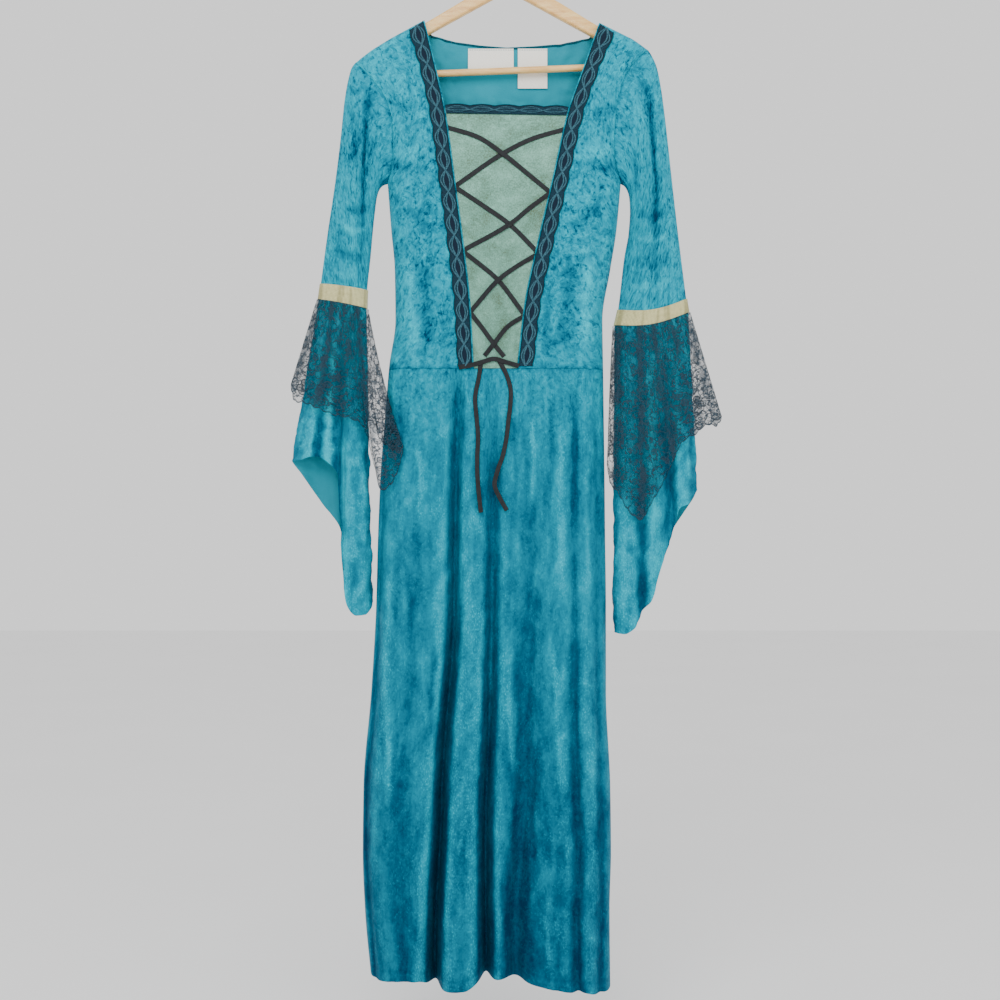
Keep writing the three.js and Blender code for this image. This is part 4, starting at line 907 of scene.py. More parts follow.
# Bodice: fine unevenness, the pull towards the bust and waist, puckers on the seams
bodice = {
    "rows": 150,
    "frontColumns": 84,
    "backColumns": 150,
    "wall": 1.4,
    "crush": 0.55,
    "crushSize": 26,
    "pucker": 0.5,
    "flatByTrim": 18,  # the cloth lies flat this far from the neck edge
    "flatByLabels": (-76, 82, -250),  # left, right and foot of the flat patch under the labels
    "seamDip": 0.9,
    "pitShare": 0.42,  # how far down the grid the armhole ends
    "neckTop": {"left": -136, "right": -140},
    "creasesLeft": (
        (7, -1.6, (-168, -250), (-150, -262), (-128, -268)),
        (9, -1.8, (-166, -345), (-146, -352), (-122, -348)),
        (8, 1.2, (-160, -330), (-138, -333), (-112, -326)),
        (8, -1.6, (-150, -400), (-122, -424), (-98, -440)),
        (12, -1.8, (-118, -470), (-112, -540), (-104, -618)),
        (10, 1.4, (-136, -470), (-132, -545), (-128, -620)),
        (8, -1.2, (-92, -520), (-86, -570), (-80, -625)),
    ),
    "creasesRight": (
        (8, -1.8, (158, -262), (140, -272), (120, -276)),
        (9, -1.8, (160, -340), (138, -352), (112, -352)),
        (8, 1.2, (156, -322), (132, -330), (100, -326)),
        (9, -1.6, (140, -398), (112, -420), (86, -438)),
        (12, -1.8, (96, -470), (86, -545), (80, -618)),
        (10, 1.3, (116, -480), (110, -545), (106, -622)),
        (8, -1.2, (62, -510), (56, -565), (52, -622)),
    ),
    "creasesBack": (
        (12, -2.2, (-150, -300), (-120, -330), (-80, -345)),
        (12, -2.2, (146, -290), (112, -322), (74, -340)),
        (16, -2.4, (-60, -430), (-66, -520), (-74, -622)),
        (16, -2.2, (48, -440), (52, -530), (60, -622)),
        (12, -1.6, (-4, -470), (-10, -550), (-8, -624)),
        (10, -1.4, (-130, -480), (-118, -540), (-112, -610)),
        (10, -1.4, (112, -470), (100, -540), (96, -612)),
    ),
}


def bodiceEdge(side, down):
    rows = armholes[side]
    top, pit = rows["z"][0], rows["z"][-1]
    pitShare = bodice["pitShare"]
    below = lerp(pit, waistZ, (down - pitShare) / (1 - pitShare))
    z = np.where(down <= pitShare, lerp(top, pit, down / pitShare), below)
    x = np.where(down <= pitShare, read(rows, "z", z, "x"), read(bodySides, "z", z, side))
    return x, z


def neckEdge(side, down):
    z = lerp(bodice["neckTop"][side], waistZ, down)
    return read(neckline, "z", z, side), z


# A grid between two edges, its top row moved on to the shoulder seam, with what the cloth does on it
def bodiceGrid(face, columns, start, end, topZ, bend):
    down = (np.linspace(0, 1, bodice["rows"]) ** 1.25)[:, None]
    share = smooth(np.linspace(0, 1, columns))[None, :] * 0.35 + np.linspace(0, 1, columns)[None, :] * 0.65
    startX, startZ = start(down)
    endX, endZ = end(down)
    topX = lerp(startX[0], endX[0], share)
    rise = topZ(topX) - lerp(startZ[0], endZ[0], share)
    x = lerp(startX, endX, share)
    z = lerp(startZ, endZ, share) + rise * (1 - down) ** 4
    fromEdge = np.minimum(share * columns, (1 - share) * columns) / 6
    fromTop = (straight(shoulderSeam, x) - z) / 30
    fade = smooth(fromEdge) * smooth(fromTop)
    if face == "front":  # the trims lie flat along the neckline
        fromNeck = np.maximum(read(neckline, "z", z, "left") - x, x - read(neckline, "z", z, "right"))
        fade = fade * smooth((fromNeck - bodice["flatByTrim"]) / 14)
        fromEdge = np.minimum(fromEdge, (fromNeck - bodice["flatByTrim"]) / 10)
    else:  # and the labels on the back neck
        left, right, foot = bodice["flatByLabels"]
        onLabels = np.minimum(np.minimum(x - left, right - x), z - foot) / 14
        fade = fade * (1 - smooth(onLabels))
    uneven = bodice["crush"] * (waves(x, z, bodice["crushSize"], 3) + 0.5 * waves(x, z, 11, 8))
    toWaist = z - waistZ
    pucker = np.exp(-toWaist / 12) * np.sin(x / 3.1 + np.sin(x / 17) * 2) * bodice["pucker"]
    seam = -bodice["seamDip"] * np.exp(-((toWaist / 3.5) ** 2))
    bent = creases(x, z, bend)
    out = (uneven + bent) * fade * smooth(toWaist / 14) + (pucker + seam) * smooth(fromEdge)
    y = bodyY(face, x, z) + faceWay[face][1] * out
    z = z + np.where(down > 0.999, halfGap, 0)
    # fold: painted shade in the creases, puckers and waist seam, and painted highlight where the cloth
    # stands out
    fold = np.clip(bent * 0.6 + uneven * 0.26 + pucker * 0.5 + seam, -1.6, 1.6)
    return np.stack(np.broadcast_arrays(x, y, z), axis=-1), fold


def makeBodice():
    along = lambda x: straight(shoulderSeam, x)
    left = bodiceGrid(
        "front",
        bodice["frontColumns"],
        lambda down: bodiceEdge("left", down),
        lambda down: neckEdge("left", down),
        along,
        bodice["creasesLeft"],
    )
    right = bodiceGrid(
        "front",
        bodice["frontColumns"],
        lambda down: neckEdge("right", down),
        lambda down: bodiceEdge("right", down),
        along,
        bodice["creasesRight"],
    )
    inNeck = lambda x: (x > backNeck["x"][0]) & (x < backNeck["x"][-1])
    back = bodiceGrid(
        "back",
        bodice["backColumns"],
        lambda down: bodiceEdge("left", down),
        lambda down: bodiceEdge("right", down),
        lambda x: np.where(inNeck(x), straight(backNeck, x), along(x)),
        bodice["creasesBack"],
    )
    arms = ["hanger_arm_left", "hanger_arm_right"]
    for name, (points, fold), face, shift in (
        ("bodice_front_left", left, "front", 0.3),
        ("bodice_front_right", right, "front", 1.1),
        ("bodice_back", back, "back", 2.3),
    ):
        addCloth(
            name + "_cloth",
            name,
            "velvet",
            points,
            bodice["wall"],
            faceWay[face],
            inside="backing",
            shift=shift,
            restsOn=arms,
            values={"fold": fold},
        )


binding = {"drops": (1.4, 2.8), "radius": 0.8, "stands": 0.3}


def makeNeckBinding():
    x = np.linspace(backNeck["x"][0] + 2, backNeck["x"][-1] - 2, 90)
    lines = []
    for drop in binding["drops"]:
        z = straight(backNeck, x) - drop
        lines.append(np.stack([x, bodyY("back", x, z) - bodice["wall"] - binding["stands"], z], axis=1))
    addThreads("back_neck_binding", "binding", lines, binding["radius"])


makeBodice()
makeNeckBinding()
print("bodice made")


# Skirt: deep folds from waist to hem, small creases between them
skirt = {
    "wall": 1.4,
    "hemFold": 14.0,
    "hemStep": 0.5,
    "stitchDip": 0.5,
    "crush": 0.7,
    "pucker": 0.6,
    "fadeIn": 45.0,  # the folds start this far below the waist
    "front": {"columns": 230, "rows": 190},
    "back": {"columns": 150, "rows": 130},
}
skirtHem = table(
    "share front back",
    (0, -1483, -1484),
    (0.1, -1478, -1486),
    (0.25, -1476, -1480),
    (0.34, -1491, -1484),
    (0.43, -1489, -1489),
    (0.5, -1478, -1484),
    (0.6, -1477, -1480),
    (0.7, -1481, -1483),
    (0.8, -1488, -1490),
    (0.9, -1494, -1496),
    (1, -1502, -1502),
)
foldColumns = "waist middle hem width deepWaist deepMiddle deepHem"
skirtFolds = {
    "front": table(
        foldColumns,
        (0.022, 0.02, 0.03, 5, 0, 9, 7),
        (0.16, 0.17, 0.15, 15, 0, 4, 7),
        (0.33, 0.336, 0.275, 10, 8, 36, 58),
        (0.487, 0.505, 0.482, 10, 0, 25, 50),
        (0.64, 0.66, 0.6, 20, 0, 14, 38),
        (0.86, 0.855, 0.86, 8, 3, 9, 12),
        (0.955, 0.96, 0.95, 6, 0, 6, 9),
    ),
    "back": table(
        foldColumns,
        (0.2, 0.19, 0.17, 13, 2, 12, 24),
        (0.41, 0.4, 0.38, 14, 3, 18, 34),
        (0.6, 0.62, 0.64, 12, 3, 17, 32),
        (0.81, 0.82, 0.85, 14, 2, 10, 22),
    ),
}
skirtCreases = {
    "front": (
        (4, 2.0, (-66, -700), (-60, -780), (-64, -880), (-72, -1000)),
        (5, 1.6, (-124, -720), (-118, -790), (-122, -860)),
        (4, -1.6, (-150, -660), (-146, -720), (-152, -790)),
        (5, 1.6, (-172, -1000), (-166, -1120), (-158, -1240)),
        (3, 1.3, (-108, -1290), (-116, -1330), (-120, -1380)),
        (3, 1.3, (-48, -1210), (-58, -1260), (-66, -1310)),
        (4, -1.4, (-140, -900), (-132, -960), (-136, -1030)),
        (4, -1.5, (-96, -1010), (-104, -1080), (-100, -1150)),
        (4, 1.5, (-30, -960), (-38, -1040), (-34, -1130)),
        (4, -1.5, (8, -700), (14, -780), (10, -870)),
        (4, 1.6, (34, -690), (38, -760), (32, -850)),
        (5, -1.6, (62, -660), (66, -740), (60, -820)),
        (5, 1.5, (76, -720), (74, -820), (78, -930)),
        (4, -1.3, (94, -690), (98, -760), (92, -840)),
        (4, 1.6, (8, -1010), (4, -1100), (10, -1210)),
        (4, -1.5, (40, -1160), (34, -1250), (40, -1340)),
        (4, 1.6, (66, -1010), (70, -1110), (74, -1220)),
        (3, -1.4, (88, -1050), (96, -1100), (98, -1180)),
        (4, 1.4, (104, -1280), (100, -1350), (106, -1430)),
        (3, 1.3, (124, -1120), (120, -1200), (126, -1290)),
        (4, -1.3, (122, -760), (118, -840), (122, -920)),
        (5, -1.2, (-6, -1330), (2, -1390), (-4, -1450)),
        (4, 1.4, (60, -1350), (56, -1400), (60, -1460)),
    ),
    "back": (
        (7, -2.0, (-130, -700), (-124, -820), (-130, -960)),
        (6, 1.8, (-70, -720), (-78, -850), (-70, -980)),
        (7, -2.0, (0, -690), (6, -800), (0, -920)),
        (6, 1.8, (70, -700), (64, -830), (72, -960)),
        (7, -2.0, (110, -980), (104, -1120), (112, -1290)),
        (6, 1.6, (-20, -1080), (-26, -1210), (-18, -1340)),
        (6, -1.6, (-150, -1100), (-144, -1230), (-150, -1380)),
    ),
}


def throughThree(start, middle, end, share):  # a value that passes three given ones
    return start + (4 * middle - 3 * start - end) * share + 2 * (start - 2 * middle + end) * share**2


def foldDepth(folds, x, z):  # how far the long folds draw the skirt in
    share = np.clip((waistZ - z) / (waistZ - hemZ), 0, 1)
    left = read(bodySides, "z", z, "left")
    width = read(bodySides, "z", z, "right") - left
    drawn = np.zeros_like(x, dtype=float)
    for k in range(len(folds["waist"])):
        row = {name: values[k] for name, values in folds.items()}
        centre = left + width * throughThree(row["waist"], row["middle"], row["hem"], share)
        centre = centre + 1.6 * np.sin(z / 47 + k * 2.1) * share
        depth = np.maximum(throughThree(row["deepWaist"], row["deepMiddle"], row["deepHem"], share), 0)
        drawn += depth / (1 + ((x - centre) / row["width"]) ** 2) ** 1.5
    return drawn * smooth((waistZ - z) / skirt["fadeIn"])


def skirtPoints(face):
    folds = skirtFolds[face]
    columns, rows = skirt[face]["columns"], skirt[face]["rows"]
    fine = np.linspace(0, 1, 2001)
    density = 1 + 6 * np.exp(-fine / 0.02) + 6 * np.exp(-(1 - fine) / 0.02)
    for middle, deep in zip(folds["middle"], folds["deepMiddle"]):
        density = density + (2.2 if deep > 8 else 0.4) / (1 + ((fine - middle) / 0.03) ** 2)
    running = np.concatenate([[0], np.cumsum(density[:-1])])
    across = np.interp(np.linspace(0, running[-1], columns), running, fine)
    share = np.broadcast_to(across[None, :], (rows, columns))
    down = np.linspace(0, 1, rows)[:, None] ** 1.05
    hem = read(skirtHem, "share", across, face)[None, :]
    z = lerp(waistZ - halfGap, hem, down)
    left, right = read(bodySides, "z", z, "left"), read(bodySides, "z", z, "right")
    part = np.clip((waistZ - z) / (waistZ - hemZ), 0, 1)
    moved = np.zeros_like(share)
    for i in range(rows):
        level = part[i].mean()
        centres = throughThree(folds["waist"], folds["middle"], folds["hem"], level)
        moved[i] = np.interp(across, [0, *folds["middle"], 1], [0, *centres, 1])
    x = lerp(left, right, moved)
    fromEdge = np.minimum(x - left, right - x)
    drawn = foldDepth(folds, x, z) * roundRise(fromEdge / 12)
    fade = smooth(fromEdge / 10) * smooth((waistZ - z) / 20)
    uneven = skirt["crush"] * (
        waves(x, z, 30, 5 if face == "front" else 6, 2.4) + 0.45 * waves(x, z, 10, 9, 2.0)
    )
    toWaist = waistZ - z
    pucker = np.exp(-toWaist / 16) * np.sin(x / 3.4 + np.sin(x / 15) * 2) * skirt["pucker"]
    seam = -bodice["seamDip"] * np.exp(-((toWaist / 3.5) ** 2))
    fromHem = z - hem
    hemStep = skirt["hemStep"] * smooth((skirt["hemFold"] - fromHem) / 2.5)
    stitch = -skirt["stitchDip"] * np.exp(-(((fromHem - skirt["hemFold"]) / 1.6) ** 2))
    bent = creases(x, z, skirtCreases[face])
    if face == "front":  # the ribbon's tails lie over a smoother stretch
        underTails = (z > -850) & (z < -620)
        fade = fade * np.where(underTails, 0.35 + 0.65 * smooth((np.abs(x + 18) - 26) / 16), 1)
    out = (uneven + bent) * fade
    out = out + (pucker + seam + hemStep + stitch) * smooth(fromEdge / 8) - drawn
    way = faceWay[face][1]
    depth = np.maximum(bodyDepth(face, x, z) + out, halfGap)
    # fold: painted shade in the long folds, the creases, the waist seam and the hem's stitching, and
    # painted highlight where the cloth stands out
    ridge = drawn - 0.5 * (foldDepth(folds, x - 14, z) + foldDepth(folds, x + 14, z))
    fold = bent * 0.42 + uneven * 0.16 - drawn / 16 - ridge / 14 + (pucker * 0.5 + seam + stitch) * 0.5
    return np.stack(np.broadcast_arrays(x, way * depth, z), axis=-1), np.clip(fold, -0.95, 1.2)


for face, shift in (("front", 3.1), ("back", 4.7)):
    points, fold = skirtPoints(face)
    addCloth(
        f"skirt_{face}_cloth",
        f"skirt_{face}",
        "velvet",
        points,
        skirt["wall"],
        faceWay[face],
        inside="backing",
        shift=shift,
        restsOn=["bodice_front_left_cloth", "bodice_back_cloth"],
        values={"fold": fold},
    )
print("skirt made")


# Sleeves: each row is a ring, its silhouette points, the armhole's curve left in it, and a crease
sleeveColumns = "row outerX outerZ innerX innerZ curve deep crease sink"
sleeves = {
    "left": table(
        sleeveColumns,
        (0, -214, -196, -168, -368, 1, 19, 0.2, 0),
        (1, -219, -203, -174, -370, 0.75, 19, 0.22, 3),
        (2, -224, -220, -179, -375, 0.5, 19, 0.3, 6),
        (3, -229, -248, -183, -386, 0.3, 18, 0.45, 7),
        (4, -235, -305, -186, -408, 0.12, 17, 0.62, 6),
        (5, -243, -369, -189, -436, 0, 16, 0.76, 4),
        (6, -253, -436, -192, -470, 0, 15, 0.8, 2),
        (7, -263, -510, -197, -519, 0, 14, 0.8, 0),
        (8, -266, -532, -198, -545, 0, 14, 0.8, 0),
    ),
    "right": table(
        sleeveColumns,
        (0, 202, -178, 163, -368, 1, 19, 0.2, 0),
        (1, 207, -186, 168, -371, 0.75, 19, 0.16, 2),
        (2, 214, -202, 172, -377, 0.5, 19, 0.17, 4),
        (3, 220, -231, 175, -388, 0.3, 18, 0.2, 7),
        (4, 227, -284, 176, -408, 0.12, 17, 0.3, 8),
        (5, 234, -348, 174, -438, 0, 17, 0.37, 7),
        (6, 242, -419, 168, -472, 0, 16, 0.42, 4),
        (7, 256, -531, 159, -547, 0, 15, 0.45, 0),
        (8, 259, -550, 154, -569, 0, 15, 0.45, 0),
    ),
}
sleeve = {
    "columns": 116,
    "rows": 116,
    "wall": 1.4,
    "crush": 0.5,
    "sag": {"left": 0, "right": 9},  # how far the elbow's edge hangs below a straight line
    "backShift": 25,  # the back's creases are the front's, moved down
}
band = {"wall": 1.0, "lift": 1.5}
sleeveCreases = {
    "left": (
        (5, -1.8, (-205, -300), (-214, -330), (-230, -345)),
        (5, -1.6, (-190, -400), (-208, -412), (-228, -404)),
        (4, 1.4, (-192, -430), (-214, -440), (-236, -428)),
        (5, -1.6, (-196, -470), (-216, -476), (-244, -462)),
        (4, 1.2, (-204, -500), (-228, -502), (-250, -488)),
        (4, -1.5, (-180, -300), (-192, -330), (-196, -365)),
        (4, -1.4, (-222, -250), (-214, -300), (-212, -350)),
    ),
    "right": (
        (5, -1.7, (184, -410), (204, -420), (226, -408)),
        (4, 1.4, (180, -446), (206, -452), (232, -440)),
        (5, -1.6, (176, -478), (204, -486), (236, -470)),
        (4, 1.2, (172, -512), (206, -520), (240, -506)),
        (4, -1.5, (178, -320), (184, -352), (182, -388)),
        (4, 1.3, (206, -250), (212, -310), (216, -372)),
    ),
}


sideWay = {"left": np.array([-1.0, 0, 0.2]), "right": np.array([1.0, 0, 0.2])}


def halves(columns):  # shares across and which face, once round a flattened tube
    turn = np.linspace(0, 2 * math.pi, columns, endpoint=False)
    return (1 - np.cos(turn)) / 2, turn <= math.pi


def tubePoints(side, rowAt, columns, lift=0.0, creased=True):  # rings from the armhole to the elbow
    rows = sleeves[side]
    share, isFront = halves(columns)
    t = rowAt[:, None]
    get = lambda name: read(rows, "row", t, name)
    x = lerp(get("outerX"), get("innerX"), share)
    slack = np.clip((-440 - get("outerZ")) / 90, 0, 1)
    z = lerp(get("outerZ"), get("innerZ"), share) - sleeve["sag"][side] * slack * np.sin(math.pi * share)
    seamRows = armholes[side]
    seamZ = lerp(seamRows["z"][0], seamRows["z"][-1], share)
    chord = lerp(rows["outerX"][0], rows["innerX"][0], share)
    x = x + (read(seamRows, "z", seamZ, "x") - chord) * get("curve")
    dip = get("sink") / (1 + ((share - get("crease")) / 0.07) ** 2) ** 1.5 * isFront
    rise = tubeRise(share)
    depth = get("deep") * rise * np.where(isFront, 1, backShare) - dip * rise
    # fold: painted shade in the crease, along the armhole seam and under the arm, and painted highlight
    # where creases and unevenness stand out
    underArm = np.exp(-(((1 - share) / 0.14) ** 2)) * smooth((3.5 - t) / 2.5)
    fold = -dip / 3.6 - 0.7 * np.exp(-((t / 0.3) ** 2)) - 0.9 * underArm
    if creased:
        fade = smooth(t / 0.8) * smooth((6.9 - t) / 0.5) * smooth(rise * 1.6 - 0.4)
        uneven = sleeve["crush"] * (waves(x + 60 * ~isFront, z, 24, 12) + 0.5 * waves(x, z, 10, 13))
        bends = sleeveCreases[side]
        bend = np.where(isFront, creases(x, z, bends), creases(x, z - sleeve["backShift"], bends))
        depth = depth + (uneven + bend) * fade
        fold = fold + bend * 0.6 + uneven * 0.2
    y = np.where(isFront, -depth, depth)
    points = np.stack(np.broadcast_arrays(x, y, z), axis=-1)
    if lift:
        points = points + gridNormals(points, True, sideWay[side])[0] * lift
    return points, np.broadcast_to(fold, points.shape[:2])


def makeSleeve(side):
    rowAt = np.linspace(0, 8, sleeve["rows"])
    points, fold = tubePoints(side, rowAt, sleeve["columns"])
    points[0, :, 0] += halfGap * (-1 if side == "left" else 1)
    points[-1, :, 2] += halfGap
    addCloth(
        f"sleeve_{side}_cloth",
        f"sleeve_{side}",
        "velvet",
        points,
        sleeve["wall"],
        sideWay[side],
        inside="backing",
        closed=True,
        shift=5.3 if side == "left" else 6.1,
        restsOn=[f"bodice_front_{side}_cloth"],
        values={"fold": fold},
    )
    points, _ = tubePoints(side, np.linspace(7, 8, 9), sleeve["columns"], band["lift"], False)
    addCloth(
        f"band_{side}_braid",
        f"band_{side}",
        "band",
        points,
        band["wall"],
        sideWay[side],
        closed=True,
        held="stretched",
        restsOn=[f"sleeve_{side}_cloth"],
    )


for side in ("left", "right"):
    makeSleeve(side)
print("sleeves and bands made")


# Bells: long points of velvet below the elbow
hemColumns = "around x y z"
bell = {"columns": 168, "rows": 84, "wall": 1.2, "crush": 0.7}
bellHems = {
    "left": table(
        hemColumns,
        (0, -304, 0, -761),
        (0.05, -290, -14, -760),
        (0.1, -276, -23, -756),
        (0.15, -266, -13, -755),
        (0.2, -251, -24, -763),
        (0.25, -238, -14, -778),
        (0.3, -231, -24, -873),
        (0.35, -223, -33, -961),
        (0.4, -209, -32, -978),
        (0.45, -196, -25, -977),
        (0.5, -189, -8, -963),
        (0.57, -191, 9, -956),
        (0.65, -208, 19, -927),
        (0.73, -228, 22, -887),
        (0.8, -240, 15, -851),
        (0.87, -264, 21, -821),
        (0.94, -287, 12, -787),
        (1, -304, 0, -761),
    ),
    "right": table(
        hemColumns,
        (0, 272, 0, -802),
        (0.06, 258, -15, -821),
        (0.12, 243, -23, -829),
        (0.17, 234, -14, -864),
        (0.22, 218, -24, -908),
        (0.28, 204, -30, -956),
        (0.33, 191, -20, -972),
        (0.38, 180, -27, -996),
        (0.43, 166, -28, -1004),
        (0.48, 152, -14, -1002),
        (0.53, 151, 2, -966),
        (0.59, 159, 14, -948),
        (0.66, 181, 21, -927),
        (0.74, 206, 13, -902),
        (0.82, 233, 21, -868),
        (0.89, 254, 15, -835),
        (0.95, 267, 8, -814),
        (1, 272, 0, -802),
    ),
}
laceSheet = {
    "columns": 130,
    "rows": 52,
    "wall": 0.5,
    "standoff": 1.9,
    "gather": 0.45,
    "gathers": 26,
    "scallopPitch": 15.0,
    "scallopRise": 3.0,
}
laceHems = {
    "left": table(
        hemColumns + " bowX bowY",
        (0, -306, 0, -653, 0, 0),
        (0.04, -298, -13, -677, 0, -2),
        (0.08, -283, -24, -680, 0, -3),
        (0.13, -264, -31, -688, 0, -4),
        (0.18, -242, -27, -697, 0, -4),
        (0.23, -219, -34, -702, 0, -5),
        (0.28, -203, -31, -710, 0, -5),
        (0.33, -194, -36, -727, -3, -5),
        (0.37, -184, -34, -768, -3, -5),
        (0.41, -174, -38, -803, -3, -4),
        (0.45, -162, -38, -797, -3, -2),
        (0.48, -151, -41, -778, -4, 0),
        (0.5, -142, -39, -743, -4, 0),
        (0.53, -155, -33, -748, -2, 2),
        (0.56, -166, -27, -741, -1, 3),
        (0.59, -177, -18, -731, 0, 4),
        (0.62, -182, -4, -722, 0, 3),
        (0.66, -183, 12, -713, 0, 2),
        (0.71, -194, 26, -704, 0, 3),
        (0.78, -222, 25, -696, 0, 3),
        (0.85, -252, 30, -686, 0, 3),
        (0.92, -280, 22, -672, 0, 2),
        (0.96, -297, 12, -662, 0, 1),
        (1, -306, 0, -653, 0, 0),
    ),
    "right": table(
        hemColumns + " bowX bowY",
        (0, 307, 0, -699, 0, 0),
        (0.04, 296, -13, -712, 0, -2),
        (0.08, 280, -24, -710, 0, -3),
        (0.13, 267, -31, -723, 0, -4),
        (0.17, 249, -28, -733, 0, -4),
        (0.21, 231, -36, -766, 0, -4),
        (0.25, 219, -32, -793, 0, -4),
        (0.29, 203, -38, -819, 0, -5),
        (0.34, 188, -34, -844, 0, -5),
        (0.39, 171, -37, -833, 0, -4),
        (0.44, 155, -30, -805, 0, -4),
        (0.48, 146, -20, -793, 0, -4),
        (0.5, 143, -8, -770, -1, -1),
        (0.54, 144, 6, -757, 0, 3),
        (0.58, 150, 19, -751, 0, 4),
        (0.64, 168, 28, -748, 0, 4),
        (0.71, 197, 24, -742, 0, 4),
        (0.78, 226, 31, -734, 0, 4),
        (0.85, 255, 27, -724, 0, 3),
        (0.91, 281, 22, -713, 0, 2),
        (0.96, 298, 11, -704, 0, 1),
        (1, 307, 0, -699, 0, 0),
    ),
}
laceFoldShade = {  # painted shade of folds that the lace's shape does not have: where it starts round the elbow, where it ends at the hem, width, depth
    "left": table(
        "start end width depth",
        (0.03, 0.02, 0.02, 0.8),
        (0.16, 0.13, 0.014, 0.9),
        (0.27, 0.31, 0.02, 0.6),
        (0.41, 0.4, 0.016, 1.0),
        (0.6, 0.62, 0.018, 0.8),
        (0.79, 0.77, 0.016, 0.9),
        (0.93, 0.94, 0.02, 0.7),
    ),
    "right": table(
        "start end width depth",
        (0.03, 0.04, 0.018, 0.8),
        (0.13, 0.15, 0.014, 0.6),
        (0.25, 0.2, 0.014, 0.8),
        (0.34, 0.33, 0.016, 1.0),
        (0.47, 0.46, 0.02, 0.9),
        (0.58, 0.6, 0.016, 0.8),
        (0.74, 0.72, 0.018, 0.9),
        (0.9, 0.92, 0.02, 0.7),
    ),
}


def elbowRing(side, around, lift):  # the sleeve's last ring, which the flounces start from
    rows = {name: values[-1] for name, values in sleeves[side].items()}

    def base(place):
        place = place % 1.0
        isFront = place <= 0.5
        share = np.where(isFront, place * 2, 2 - place * 2)
        depth = rows["deep"] * tubeRise(share) * np.where(isFront, -1, backShare)
        x = lerp(rows["outerX"], rows["innerX"], share)
        z = lerp(rows["outerZ"], rows["innerZ"], share) - sleeve["sag"][side] * np.sin(math.pi * share)
        return np.stack([x, depth, z], axis=-1)

    across = np.array([rows["innerX"] - rows["outerX"], 0, rows["innerZ"] - rows["outerZ"]])
    across = across / np.linalg.norm(across)
    axis = np.array([across[2], 0, -across[0]])
    step = 0.006
    out = np.cross(base(around + step) - base(around - step), axis)
    out = out / (np.linalg.norm(out, axis=-1, keepdims=True) + 1e-9)
    return base(around) - out * lift


def crowded(start, end, columns, closed):  # places round a flounce, closer at its silhouette edges
    even = np.linspace(start, end, columns, endpoint=not closed)
    half = np.floor(np.minimum(even, 0.999999) * 2) / 2
    return even * 0.5 + (half + (1 - np.cos((even - half) * 2 * math.pi)) / 4) * 0.5


def flouncePoints(side, hem, around, rows, lift):  # from the elbow straight down to its hem
    down = np.linspace(0, 1, rows)[:, None, None]
    top = elbowRing(side, around, lift)[None]
    top = top - np.array([0, 0, halfGap])
    end = np.stack([read(hem, "around", around, name) for name in "xyz"], axis=-1)[None]
    points = lerp(top, end, down)
    if "bowX" in hem:
        bow = 4 * down[..., 0] * (1 - down[..., 0])
        points[..., 0] += read(hem, "around", around, "bowX")[None] * bow
        points[..., 1] += read(hem, "around", around, "bowY")[None] * bow
    return points


def makeBell(side):
    around = crowded(0, 1, bell["columns"], True)
    points = flouncePoints(side, bellHems[side], around, bell["rows"], 0.0)
    normals, _ = gridNormals(points, True, sideWay[side])
    down = np.linspace(0, 1, bell["rows"])[:, None]
    x, z = points[..., 0], points[..., 2]
    uneven = waves(x + points[..., 1], z, 26, 21, 2.0) + 0.5 * waves(x - points[..., 1], z, 10, 22, 1.6)
    calm = smooth(down / 0.1) * lerp(0.3, 1, smooth((down - 0.25) / 0.35))  # it lies under the lace
    points = points + normals * (bell["crush"] * uneven * calm)[..., None]
    # fold: painted highlight where the cloth stands out from its neighbours, painted shade where it sinks
    # between them
    mean = sum(np.roll(points[..., 1], k, axis=1) for k in (-9, -6, 6, 9)) / 4
    stands = np.where(normals[..., 1] < 0, mean - points[..., 1], points[..., 1] - mean)
    addCloth(
        f"bell_{side}_cloth",
        f"bell_{side}",
        "velvet",
        points,
        bell["wall"],
        sideWay[side],
        inside="backing",
        closed=True,
        shift=7.7 if side == "left" else 8.9,
        restsOn=[f"sleeve_{side}_cloth"],
        values={"fold": np.clip(stands / 6 + uneven * 0.12, -1.2, 1.2)},
    )


